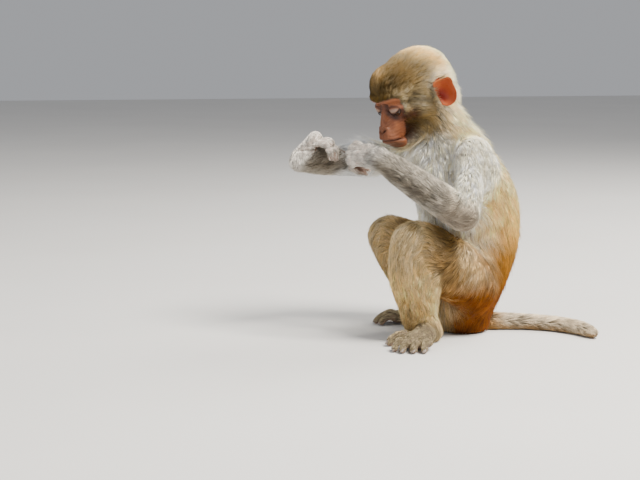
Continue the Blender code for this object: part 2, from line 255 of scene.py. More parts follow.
limbPlan = {
    "left": {
        "side": 1,
        "hip": (40, 8, 58),
        "knee": (72, -73, 117),
        "ankle": (62, -62, 26),
        "heel": (60, -46, 9),
        "footTurn": 56,
        "shoulder": (42, 6, 208),
        "elbow": (114, -25, 148),
        "wrist": (58, -108, 208),
        "knuckles": (38, -136, 213),
        "palmFaces": (-0.85, 0.2, -0.45),
        "fingerBend": (62, 62, 36),
    },
    "right": {
        "side": -1,
        "hip": (-40, 8, 58),
        "knee": (-90, -66, 105),
        "ankle": (-54, -14, 26),
        "heel": (-52, 4, 9),
        "footTurn": 4,
        "shoulder": (-42, 0, 210),
        "elbow": (-66, -88, 197),
        "wrist": (-21, -186, 200),
        "knuckles": (-15, -168, 227),
        "palmFaces": (0.2, 0.75, -0.6),
        "fingerBend": (60, 52, 30),
    },
    "palmLength": 33,
    "footLength": 66,
}
fingerPlan = {
    "lengths": (19, 12.5, 9.5),
    "share": (0.93, 1.0, 0.97, 0.84),
    "fan": 4.5,  # degrees between neighbouring fingers
    "gap": 7.4,
    "knuckle": 4.2,
    "radius": 3.7,
    "thumb": (17, 11, 7),
    "thumbBend": (18, 22, 15),
    "thumbRadius": 4.2,
}
nailSpots = {"left_hand": [], "right_hand": [], "left_foot": [], "right_foot": []}
boneLines = {}  # centre line of each part with its radius, from the body outwards


def finger(clay, root, aim, palm, lengths, bends, radius, across, spots):
    place, angle = np.array(root, float), 0.0
    rows = [(*place, radius + 0.7, radius + 0.3)]
    thin = radius
    for step, (length, bend) in enumerate(zip(lengths, bends)):
        angle += math.radians(bend)
        way = aim * math.cos(angle) + palm * math.sin(angle)
        rows.append((*(place + way * length * 0.5), thin * 0.9, thin * 0.88))
        place = place + way * length
        thin *= 0.94
        rows.append((*place, thin * (1.04 if step < 2 else 0.9), thin * (1.06 if step < 2 else 0.86)))
    clay.tube(rows, across, steps=3, sides=16)
    spots.append((place, way, unit(palm * -math.cos(angle) + aim * math.sin(angle)), thin))
    return rows


def layHand(clay, word):
    plan, bones = limbPlan[word], fingerPlan
    wrist = np.array(plan["wrist"], float)
    ahead = unit(np.array(plan["knuckles"], float) - wrist)
    palm = np.array(plan["palmFaces"], float)
    palm = unit(palm - ahead * (palm @ ahead))
    inner = np.cross(palm, ahead) * plan["side"]
    length, spots = limbPlan["palmLength"], nailSpots[f"{word}_hand"]

    def place(along, aside, down):
        return wrist + ahead * along + inner * aside + palm * down

    flat = ((0, 10.8, 10.6), (18, 12.6, 9.0), (length, 14.8, 7.4))
    clay.tube([(*place(along, 0, 0), *radii) for along, *radii in flat], inner)
    for k, share in enumerate(bones["share"]):
        fan = math.radians(bones["fan"] * (1.5 - k))
        aim = ahead * math.cos(fan) + inner * math.sin(fan)
        lengths = [part * share for part in bones["lengths"]]
        aside = 11 - bones["gap"] * k
        clay.ball(place(length - 1, aside, -2.6), [bones["knuckle"]] * 3, around=16, rings=10)
        root = place(length - 3 - 1.2 * abs(k - 1), aside, -1)
        rows = finger(clay, root, aim, palm, lengths, plan["fingerBend"], bones["radius"], inner, spots)
        if k == 1:
            boneLines[f"hand_{word}"] = [(*wrist, 12, 12), (*place(length, 0, 0), 13, 13)]
            boneLines[f"hand_{word}"] += [(*row[:3], 9, 9) for row in rows[2::2]]
    aim = unit(ahead * 0.75 + inner * 0.55 + palm * 0.45)
    thumb = bones["thumb"], bones["thumbBend"], bones["thumbRadius"]
    finger(clay, place(12, 9, 3), aim, palm, *thumb, inner, spots)
    plan["gripMiddle"] = place(length * 0.72, -1, 15)  # what the bent fingers close round


footPlan = {"toes": (27, 30, 28, 24), "gap": 9, "radius": 4.0, "bigToe": 34, "bigRadius": 4.8, "bigTurn": 42}


def layFoot(clay, word):
    plan = limbPlan[word]
    side, heel, ankle = plan["side"], np.array(plan["heel"], float), plan["ankle"]
    turn = math.radians(plan["footTurn"]) * side
    ahead = np.array((math.sin(turn), -math.cos(turn), 0))
    inward = np.array((-side * math.cos(turn), -math.sin(turn) * side, 0))
    length, spots = limbPlan["footLength"], nailSpots[f"{word}_foot"]

    def place(along, aside, height):
        spot = heel + ahead * along + inward * aside
        return np.array((spot[0], spot[1], height))

    def line(*rows):
        return [(*place(*row[:3]), *row[3:]) for row in rows]

    def aimed(degrees):
        return ahead * math.cos(math.radians(degrees)) + inward * math.sin(math.radians(degrees))

    sole = line((0, 0, 9, 10, 8.6), (22, 0, 10.6, 11, 10), (44, -1, 9.2, 14, 8.2), (length, -2, 7.4, 16, 6.2))
    clay.tube(sole, inward)
    clay.tube(((*between(ankle, plan["knee"], 0.12), 13, 16), (*ankle, 13, 16), (*place(13, 0, 12), 12, 13)))
    for k, long in enumerate(footPlan["toes"]):
        root = place(length - 5 - 1.5 * abs(k - 1), 10.5 - footPlan["gap"] * k, 7.2)
        toe(clay, root, aimed(6 - 5 * k), long, inward, footPlan["radius"], spots)
    big = footPlan["bigToe"], inward, footPlan["bigRadius"]
    toe(clay, place(30, 9, 8), aimed(footPlan["bigTurn"]), *big, spots)
    bones = line((22, 0, 10, 13, 13), (length, 0, 7, 14, 14), (length + 26, 2, 5, 14, 14))
    boneLines[f"foot_{word}"] = [(*ankle, 17, 17), *bones]


def toe(clay, root, aim, length, across, radius, spots):
    up = np.array((0, 0, 1.0))
    joint = root + aim * length * 0.48 + up * 3.0
    end = root + aim * length * 0.76 + up * 1.2
    tip = root + aim * length * 0.97
    tip[2] = radius * 0.9
    rows = (
        (*root, radius + 0.6, radius),
        (*between(root, joint, 0.55), radius * 0.9, radius * 0.9),
        (*joint, radius * 1.02, radius),
        (*end, radius * 0.84, radius * 0.82),
        (*tip, radius * 0.9, radius * 0.8),
    )
    clay.tube(rows, across, steps=3, sides=16)
    way = unit(tip - end)
    spots.append((tip, way, unit(up - way * (up @ way)), radius * 0.86))


# how deep the coat stands over the skin on each part, in millimetres
coatDepth = {
    "trunk": 9,
    "neck": 8,
    "throat": 9,
    "cranium": 5,
    "cheek": 8,
    "jaw": 1.5,
    "upperArm": 5,
    "forearm": 3.8,
    "thigh": 6.5,
    "shin": 5.5,
    "tail": 3.4,
}
limbRadii = {  # the joints at the ends, then the share of the way and the radii there
    "thigh": ("hip", "knee", (0, 25, 31), (0.45, 31, 38), (0.85, 26, 30), (1, 23, 26)),
    "shin": ("knee", "ankle", (0, 23, 26), (0.42, 25, 32.5), (0.72, 21, 27), (1.1, 16, 20)),
    "upperArm": ("shoulder", "elbow", (0, 23, 24), (0.5, 19, 20), (1, 17, 18)),
    "forearm": ("elbow", "wrist", (0, 17, 19), (0.3, 17, 19.5), (0.75, 14.5, 17), (1, 12, 12.5)),
}


def layLimbs(clay):
    for word in ("left", "right"):
        plan = limbPlan[word]
        for part, (start, end, *rows) in limbRadii.items():
            line = [(*between(plan[start], plan[end], share), *radii) for share, *radii in rows]
            clay.tube(thinned(line, coatDepth[part]), (0, 1, 0.2) if part == "upperArm" else (1, 0, 0))
            boneLines[f"{part}_{word}"] = line
        clay.ball(plan["elbow"], (13.5, 13.5, 13.5), around=20, rings=12)
        layHand(clay, word)
        layFoot(clay, word)


trunkPlan = {
    "line": (
        (0, 2, 4, 28, 24),
        (0, 2, 22, 40, 31),
        (0, 6, 48, 48, 41),
        (0, 13, 80, 54, 50),
        (0, 16, 112, 57, 56),
        (0, 11, 144, 58, 60),
        (0, -0.5, 176, 56, 56.5),
        (0, -8, 204, 45, 47),
    ),
    "neck": ((0, -6, 200, 42, 41), (0, -17, 228, 38, 35), (0, -32, 258, 36, 30)),
    "throat": ((-2, -38, 200), (37, 31, 30)),
    "belly": ((0, -8, 122), (44, 43, 46)),
    "pairs": (  # on both sides: shoulder, haunch, shoulder blade, breast
        ((34, 7, 202), (24, 28, 26)),
        ((36, 10, 62), (35, 31, 44)),
        ((27, 22, 168), (26, 34, 38)),
        ((22, -34, 176), (27, 26, 30)),
    ),
    "armpits": (  # where the arms run into the body, behind and below
        ((46, 12, 192), (19, 21, 20)),
        ((52, 6, 178), (15, 17, 22)),
        ((-46, -4, 198), (17, 24, 20)),
        ((-46, -18, 186), (13, 24, 16)),
    ),
    "seat": ((15, 7, 12), (16, 20, 16)),
    "tail": (
        (0, 14, 12.5, 12, 12),
        (1, 40, 10, 11.5, 11.5),
        (8, 76, 9, 11, 10.5),
        (27, 109, 8.6, 10.5, 10),
        (56, 130, 8, 10, 9.5),
        (84, 138, 6.6, 7.5, 7.5),
    ),
}


def layTrunk(clay):
    plan, deep = trunkPlan, coatDepth["trunk"]
    lows = [np.interp(row[2], (20, 80), (3.5, deep)) for row in plan["line"]]
    clay.tube([thinned([row], low)[0] for row, low in zip(plan["line"], lows)], steps=6, sides=48)
    clay.tube(thinned(plan["neck"], coatDepth["neck"]), sides=40)
    clay.tube(thinned(plan["tail"], coatDepth["tail"]), steps=8, sides=20)
    lumps = [(*plan["throat"], coatDepth["throat"]), (*plan["belly"], deep)]
    for side in (-1, 1):
        pairs = [(*pair, deep) for pair in plan["pairs"]] + [(*plan["seat"], 1.0)]
        lumps += [(np.array(centre) * (side, 1, 1), radii, low) for centre, radii, low in pairs]
    lumps += [(*pit, 0) for pit in plan["armpits"]]
    for centre, radii, low in lumps:
        clay.ball(centre, np.array(radii) - low)
    boneLines.update(trunk=plan["line"][::-1], neck=plan["neck"][::-1], tail=plan["tail"])


eyePlan = {
    "forward": 49.0,
    "aside": 14.5,
    "above": 5.0,
    "radius": 9.0,
    "iris": 5.8,
    "pupil": 2.3,
    "gazeDown": 40,
    "bulge": 0.7,  # how far the cornea stands out of the ball
    "irisTones": ((0.16, 0.065, 0.02, 1), (0.05, 0.018, 0.008, 1)),
    "ringTone": (0.02, 0.009, 0.006, 1),
    "whiteTone": (0.23, 0.15, 0.11, 1),
    "pupilTone": (0.003, 0.003, 0.003, 1),
}


def eyeCentre(side):
    return eyePlan["forward"], side * eyePlan["aside"], eyePlan["above"]


def layHead(clay):
    def lump(centre, radii, deep=0.0):
        clay.ball(onHead(centre), np.array(radii) - deep, axesOfHead)

    def roll(*stations, across=(0, 1, 0), deep=0.0):
        placed = [(*onHead(row[:3]), *row[3:]) for row in thinned(stations, deep)]
        clay.tube(placed, axesOfHead @ np.array(across, float))

    crown = coatDepth["cranium"]
    lump((5, 0, 17), (45, 41, 37), crown)
    lump((-12, 0, 7), (27, 37, 31), crown)
    lump((34, 0, 24), (28, 33, 26), crown - 1.5)
    lump((-12, 0, -15), (30, 34, 27), coatDepth["neck"])  # under the ruff
    lump((20, 0, -12), (33, 36, 24), coatDepth["cheek"])
    lump((27, 0, -7), (24, 28.5, 22))  # cheeks under the hair
    roll((30, 0, -13, 26, 23), (46, 0, -15, 20.5, 19), (58, 0, -20, 16.5, 14.5), (64, 0, -23, 14, 12))
    roll((50, 0, 11, 5.5, 7.5), (58, 0, 0, 4.6, 6.6), (65, 0, -10.5, 5.6, 6.2))  # bridge of the nose
    jaw = ((22, 0, -28, 24, 14), (41, 0, -33, 18, 12), (53, 0, -36, 13, 9.5), (64, 0, -31.5, 10.5, 7.5))
    roll(*jaw, deep=coatDepth["jaw"] * 0.5)
    near = (54, 14, 18, 6.2, 6.5), (43, 26, 14, 4, 4.5)
    far = [(forward, -left, *rest) for forward, left, *rest in near[::-1]]
    roll(*far, (57, 0, 18.5, 6, 6.5), *near, across=(0, 0, 1))  # brow
    for side in (-1, 1):
        lump((42, side * 20.5, -7), (10, 9, 10))  # cheekbone
        lump(eyeCentre(side), (10.4, 10.8, 10.4))
        lump((67, side * 5.0, -14.5), (4.6, 4.2, 4.0))  # wing of the nose
        layEar(clay, side)


earPlan = {
    "root": (13.5, 35, -1.5),
    "back": (-0.80, 0.60, 0.0),
    "up": (-0.22, 0.05, 0.97),
    "half": 15,
    "rise": 18,
    "bowl": 6.5,
    "thick": 3.2,
}


def earReach(angle):  # how far the rim lies out, with a corner up at the back
    def towards(degrees, power):
        return np.maximum(0, np.cos(angle - math.radians(degrees))) ** power

    return 0.87 + 0.38 * towards(50, 18) + 0.22 * towards(122, 10) + 0.1 * towards(85, 10)


def earAxes(side):
    back = unit(np.array(earPlan["back"]) * (1, side, 1))
    up = np.array(earPlan["up"]) * (1, side, 1)
    up = unit(up - back * (up @ back))
    return back, up, np.cross(back, up) * side


def earPlaces(head, side):  # along, up and out of the ear, how far out it lies there and how far its rim does
    back, up, out = earAxes(side)
    away = head - np.array(earPlan["root"]) * (1, side, 1)
    along, rise = away @ back, away @ up
    spread, lift = along / earPlan["half"] - 1, rise / earPlan["rise"]
    return along, rise, away @ out, np.hypot(spread, lift), earReach(np.arctan2(lift, spread))


def layEar(clay, side):
    back, up, out = earAxes(side)
    rings, spokes = 12, 44
    root = np.array(earPlan["root"]) * (1, side, 1)
    angles = np.arange(spokes) * 2 * math.pi / spokes

    def sheet(share, lift):
        reach = share * earReach(angles)
        along = earPlan["half"] * (1 + np.cos(angles) * reach)
        rise = earPlan["rise"] * np.sin(angles) * reach
        bowl = 1.5 * reach - earPlan["bowl"] * (1 - reach**2)
        bowl += 0.9 * hill(np.degrees(angles), 51, 30) * share**3
        bowl += 1.8 * smooth(share, 0.78, 0.97) * smooth(np.cos(angles - 0.6), -0.7, 0.4)  # rolled rim
        bowl += 1.8 * (hill(share, 0.62, 0.12) * smooth(np.cos(angles - 0.35), -0.1, 0.8))  # fold inside it
        bowl -= 3.6 * hill(along, 11.0, 6.5) * hill(rise, -2.0, 7.0)  # way into the ear
        spots = root + back * along[:, None] + up * rise[:, None] + out * (bowl + lift)[:, None]
        return onHead(spots)

    half = earPlan["thick"] / 2
    rows = [sheet(0.0, half)[:1]]
    rows += [sheet(ring / rings, half) for ring in range(1, rings + 1)]
    rows += [sheet(ring / rings, -half) for ring in range(rings, 0, -1)]
    rows.append(sheet(0.0, -half)[:1])
    clay.add(np.concatenate(rows), capped(rings * 2, spokes))


# the parts of the body that a point can belong to
partNames = ["head", "muzzle", "neck", "trunk", "tail"]
for word in ("left", "right"):
    partNames += [f"{part}_{word}" for part in ("upperArm", "forearm", "hand", "thigh", "shin", "foot")]


def alongLine(points, line):  # share along the line, its direction, distance and radius there
    line = np.array(line, float)
    places, radii = line[:, :3], line[:, 3:].mean(axis=1)
    steps = np.linalg.norm(np.diff(places, axis=0), axis=1)
    total = steps.sum()
    best = np.full(len(points), 1e9)
    share, way, radius = np.zeros(len(points)), np.zeros((len(points), 3)), np.zeros(len(points))
    done = 0.0
    for k, step in enumerate(steps):
        aim = (places[k + 1] - places[k]) / step
        t = np.clip((points - places[k]) @ aim / step, 0, 1)
        gap = np.linalg.norm(points - places[k] - (t * step)[:, None] * aim, axis=1)
        near = gap < best
        best = np.where(near, gap, best)
        share = np.where(near, (done + t * step) / total, share)
        radius = np.where(near, radii[k] + (radii[k + 1] - radii[k]) * t, radius)
        way = np.where(near[:, None], aim, way)
        done += step
    return share, way, best, radius


def bodyMap(points, normals):
    found = {"points": points, "normals": normals, "head": toHead(points), "share": {}, "way": {}}
    lines = dict(boneLines)
    lines["head"] = [(*onHead((-12, 0, 8)), 40, 40), (*onHead((30, 0, 6)), 38, 38)]
    lines["muzzle"] = [(*onHead((40, 0, -14)), 24, 24), (*onHead((64, 0, -22)), 14, 14)]
    scores = []
    for name in partNames:
        share, way, gap, radius = alongLine(points, lines[name])
        found["share"][name], found["way"][name] = share, way
        if name in ("head", "muzzle"):  # the hands, held close before the face, are no part of it
            gap = gap + 100 * smooth(found["head"][:, 0], 81, 87)
        elif name in ("neck", "trunk"):
            gap = gap + 200 * smooth(-points[:, 1], 86, 94)
        scores.append(gap / radius)
    scores = np.array(scores)
    weights = np.exp(-(scores - scores.min(axis=0)) / 0.14)
    weights /= weights.sum(axis=0)
    found["weight"] = dict(zip(partNames, weights))
    found["headShare"] = weightOf(found, "head", "muzzle")
    found["main"] = scores.argmin(axis=0)
    return found


def weightOf(found, *starts):
    return sum(weight for name, weight in found["weight"].items() if name.split("_")[0] in starts)


def eyeAngles(head, side):  # degrees aside and above, and distance, from the middle of an eye
    away = head - eyeCentre(side)
    far = np.linalg.norm(away, axis=1)
    dip = math.radians(lidPlan["dip"])
    ahead = away[:, 0] * math.cos(dip) - away[:, 2] * math.sin(dip)
    rise = away[:, 0] * math.sin(dip) + away[:, 2] * math.cos(dip)
    aside = np.degrees(np.arctan2(side * away[:, 1], ahead)) - lidPlan["outward"]
    above = np.degrees(np.arcsin(np.clip(rise / np.maximum(far, 1e-6), -1, 1)))
    return aside, above, far, away


lidPlan = {
    "dip": 20,  # the lids' own forward direction, below the head's
    "outward": 17,
    "half": 52,  # degrees from the middle of the opening to its corners
    "level": 3,
    "upper": -12,
    "lower": 41,
    "thick": 1.0,
    "crease": 43,
}


def lidEdges(aside):
    arch = np.maximum(1 - (aside / lidPlan["half"]) ** 2, 0)
    return lidPlan["level"] + lidPlan["upper"] * arch, lidPlan["level"] - lidPlan["lower"] * arch


def faceDepth(head):  # millimetres inside the hairline round the bare face
    forward, left, up = head.T
    back = forward - np.interp(up, (-46, -38, -20, -10, 8, 20), (57, 53, 51, 49, 47, 50))
    brow = np.interp(np.abs(left), (0, 8, 23, 31), (17, 19, 19.5, 14)) - up
    chin = np.interp(forward, (50, 62, 72), (-41, -43, -44)) * -1 + up
    ahead = 84 - forward
    return np.minimum(np.minimum(back, np.minimum(brow, ahead)), np.minimum(chin + 2, 33 - np.abs(left)))


def faceShare(head):  # 1 on the bare face, 0 where the hair is
    return smooth(faceDepth(head), -1.2, 2.0)


def earShare(head):  # 1 on the ears' own skin
    share = np.zeros(len(head))
    for side in (-1, 1):
        along, rise, lift, reach, rim = earPlaces(head, side)
        inside = (reach < rim + 0.12) & (np.abs(lift) < 9) & (along > 3.5)
        share = np.maximum(share, inside * smooth(along, 3.5, 6.5))
    return share


def palmShare(found):  # 1 on palms, soles and the pads it sits on
    normals, points, weight = found["normals"], found["points"], found["weight"]
    share = weight["trunk"] * smooth(-normals[:, 2], 0.3, 0.7) * fall(points[:, 2], 6, 16)
    for word in ("left", "right"):
        inward = unit(limbPlan[word]["gripMiddle"] - points)
        hand = smooth((normals * inward).sum(axis=1), 0.15, 0.55)
        hand += smooth(found["share"][f"hand_{word}"], 0.84, 0.93) * 0.8
        share += weight[f"hand_{word}"] * hand + weight[f"foot_{word}"] * smooth(-normals[:, 2], 0.1, 0.5)
    return np.clip(share, 0, 1)


# the markings, with some painted shade and light, are worked out alike for skin and coat
furTones = {
    "backTop": (0.88, 0.73, 0.50),
    "backMiddle": (0.80, 0.57, 0.29),
    "backLow": (0.40, 0.22, 0.07),
    "rump": (0.20, 0.075, 0.010),
    "chest": (0.86, 0.87, 0.88),
    "belly": (0.66, 0.60, 0.49),
    "flank": (0.53, 0.435, 0.31),
    "neckSide": (0.50, 0.40, 0.255),
    "shoulder": (0.95, 0.88, 0.74),
    "forearm": (0.47, 0.43, 0.37),
    # painted shade along the underside of the forearm
    "forearmShade": (0.14, 0.115, 0.085),
    # painted shade at the elbow, used on the near arm
    "elbow": (0.33, 0.28, 0.225),
    "hand": (0.60, 0.57, 0.53),
    "thigh": (0.40, 0.27, 0.145),
    # painted shade on the thigh: shadow of the arm, and shade between thigh and belly
    "thighShade": (0.12, 0.08, 0.035),
    "knee": (0.50, 0.42, 0.30),
    "shin": (0.72, 0.57, 0.36),
    "shinLow": (0.64, 0.51, 0.33),
    # painted light on the lit rear of the shin and under the knee
    "shinRearLight": (0.95, 0.80, 0.54),
    "foot": (0.30, 0.25, 0.17),
    "tail": (0.58, 0.50, 0.39),
    "tailUnder": (0.32, 0.22, 0.13),
    "crown": (0.145, 0.118, 0.078),
    "crownBack": (0.95, 0.84, 0.62),
    "crownTop": (0.60, 0.455, 0.25),
    "browDark": (0.085, 0.058, 0.024),
    "browHollow": (0.034, 0.024, 0.011),
    "browFront": (0.34, 0.25, 0.15),
    "temple": (0.245, 0.215, 0.16),
    "cheekDark": (0.034, 0.010, 0.001),
    "ruff": (0.95, 0.92, 0.83),
    "jawOlive": (0.21, 0.155, 0.08),
}


def furColour(found):
    points, normals, head, share = (found[key] for key in ("points", "normals", "head", "share"))
    tones, colour = furTones, {}
    y, z = points[:, 1], points[:, 2]
    aside, backward, upward = normals.T
    rear = smooth(backward, -0.55, 0.6)
    back = ramp(tones, z, (66, "rump"), (104, "backLow"), (146, "backMiddle"), (195, "backTop"))
    front = ramp(tones, z, (58, "flank"), (104, "belly"), (160, "chest"))
    sitting = fall(z, 48, 74) * smooth(backward + np.abs(aside) * 0.9, -0.5, 0.3)
    colour["trunk"] = layered(blendTo(front, back, rear), tones, ("rump", sitting))
    neckBack = layered(tones["ruff"], tones, ("backTop", rear * 0.6))
    sides, high = hill(backward, 0.1, 0.5) * smooth(z, 222, 245) * 0.85, smooth(z, 236, 264) * 0.5
    neckFront = layered(tones["chest"], tones, ("neckSide", sides), ("jawOlive", high))
    underEar = smooth(head[:, 0], 4, 18) * smooth(head[:, 2], -42, -22) * smooth(np.abs(head[:, 1]), 14, 24)
    colour["neck"] = layered(blendTo(neckFront, neckBack, rear), tones, ("jawOlive", underEar * 0.75))
    tail = layered(tones["tailUnder"], tones, ("tail", smooth(upward, -0.5, 0.3)))
    colour["tail"] = blendTo(tones["backLow"], tail, smooth(share["tail"], 0.02, 0.2))
    nookShade = nearby(points, (77, -25, 88), 150, 0) * 0.6  # painted shade between thigh and belly
    for word in ("left", "right"):
        s = share[f"thigh_{word}"]
        base = ramp(tones, z, (60, "rump"), (86, "flank"))
        thigh = blendTo(base, ramp(tones, s, (0.45, "thigh"), (1.0, "knee")), smooth(s, 0.2, 0.5))
        # painted shadow of the arm on the top and rear of the thigh
        topRearShade = smooth(upward, 0.0, 0.6) * smooth(backward, -0.6, 0.2)
        topRearShade *= smooth(s, 0.25, 0.5) * fall(s, 0.7, 0.95)
        flank = smooth(y, -22, -12) * smooth(z, 76, 100) * 0.9
        # painted light under the knee
        underKneeLight = smooth(-upward, 0.15, 0.45) * smooth(s, 0.45, 0.6) * 0.8
        steps = ("thighShade", topRearShade), ("thighShade", nookShade), ("flank", flank), ("shinRearLight", underKneeLight)
        colour[f"thigh_{word}"] = layered(thigh, tones, *steps)
        s = share[f"shin_{word}"]
        shin = ramp(tones, s, (0.0, "knee"), (0.35, "shin"), (1.0, "shinLow"))
        # painted light on the rear of the shin, lit from behind
        calfLight = smooth(backward, -0.1, 0.6) * hill(s, 0.45, 0.35)
        colour[f"shin_{word}"] = layered(shin, tones, ("shinRearLight", calfLight))
        # on the left arm the elbow is painted darker as shade; the right arm runs pale from a chest-white
        # elbow
        elbow, pale = ("elbow", 0.1) if word == "left" else ("chest", 0.4)
        upper = (0.0, "shoulder"), (0.75, "shoulder"), (1.0, elbow)
        colour[f"upperArm_{word}"] = ramp(tones, share[f"upperArm_{word}"], *upper)
        s = share[f"forearm_{word}"]
        stops = (pale - 0.1, elbow), (pale + 0.15, "forearm"), (0.8, "forearm"), (1.0, "hand")
        # painted shade along the underside of the forearm
        shadowBand = hill(upward, -0.05, 0.4) * smooth(s, 0.12, 0.3) * fall(s, 0.85, 1.0) * 0.8
        colour[f"forearm_{word}"] = layered(ramp(tones, s, *stops), tones, ("forearmShade", shadowBand))
        colour[f"hand_{word}"], colour[f"foot_{word}"] = np.array([tones["hand"]]), np.array([tones["foot"]])
    colour["head"] = colour["muzzle"] = headColour(head)
    return richer(sum(found["weight"][name][:, None] * colour[name] for name in partNames), 1.25)


def richer(colour, share):
    grey = colour.mean(axis=1, keepdims=True)
    return np.clip(grey + (colour - grey) * share, 0.002, 0.95)


def headColour(head):
    forward, left, up = head.T
    side, behind = np.abs(left), -faceDepth(head)
    # partly the crown's own markings from back to front, partly painted light: the head is made lighter
    # towards its top, where light from above falls
    slope = forward + 0.4 * (45 - up)
    crown = ramp(furTones, slope, (-16, "crownBack"), (0, "crownTop"), (22, "crown"), (50, "browDark"))
    browCap = hill(forward, 50 - 0.35 * (up - 25), 15) * hill(up, 33, 17) * hill(side, 15, 12)
    hollow = nearby(head, (50, 17, 30), 120, 1)
    browFront = hill(left, -2, 8) * smooth(forward, 46, 54) * hill(up, 34, 11)
    temple = fall(up, 12, 30) * smooth(side, 14, 27) * smooth(forward, -4, 8)
    # painted shadow along the jaw line, between the cheek fur and the neck
    shadowBand = hill(up, 0.55 * (forward - 31) - 23, 6) * smooth(side, 16, 24) * smooth(forward, 6, 26)
    ruff = fall(forward, -14, -2) * fall(up, 14, 36)
    aboveEar = hill(forward, 2, 12) * hill(up, 22, 7) * smooth(side, 28, 36)
    return layered(
        crown,
        furTones,
        ("browDark", np.clip(browCap * 1.2, 0, 1)),
        ("browHollow", hollow * 0.85),
        ("browFront", browFront * 0.6),
        ("temple", temple * (1 - 0.35 * smooth(up, 8, 30))),
        ("jawOlive", smooth(forward, 2, 16) * fall(up, -16, 0) * smooth(side, 12, 22)),
        ("cheekDark", fall(behind, 5, 16) * fall(up, -6, 6) * smooth(up, -46, -36)),
        ("jawOlive", fall(up, -22, -10) * fall(forward, 14, 30) * 0.5),
        # painted shadow along the jaw line
        ("browDark", shadowBand * 0.75),
        ("chest", fall(up, -44, -34) * smooth(forward, 10, 30) * 0.6),
        ("ruff", np.clip(ruff + aboveEar * 0.5, 0, 1)),
    )


skinTones = {
    "face": (0.29, 0.086, 0.025),
    "facePale": (0.36, 0.17, 0.09),
    "muzzle": (0.19, 0.066, 0.028),
    "lid": (0.28, 0.205, 0.16),
    # painted shade for the folds, creases and hollows of the face and ears
    "crease": (0.055, 0.017, 0.009),
    "lash": (0.022, 0.010, 0.007),
    "lip": (0.19, 0.070, 0.04),
    # painted shade inside the nostrils and in the line between the lips
    "chin": (0.10, 0.048, 0.026),
    "nostril": (0.03, 0.01, 0.008),
    "ear": (0.37, 0.070, 0.010),
    # the ear's own deeper red, with painted shade in its hollow
    "earRedAndHollowShade": (0.20, 0.008, 0.002),
    "earPale": (0.49, 0.165, 0.050),
    "palm": (0.20, 0.125, 0.09),
    "finger": (0.42, 0.34, 0.29),
    "toe": (0.24, 0.18, 0.13),
}


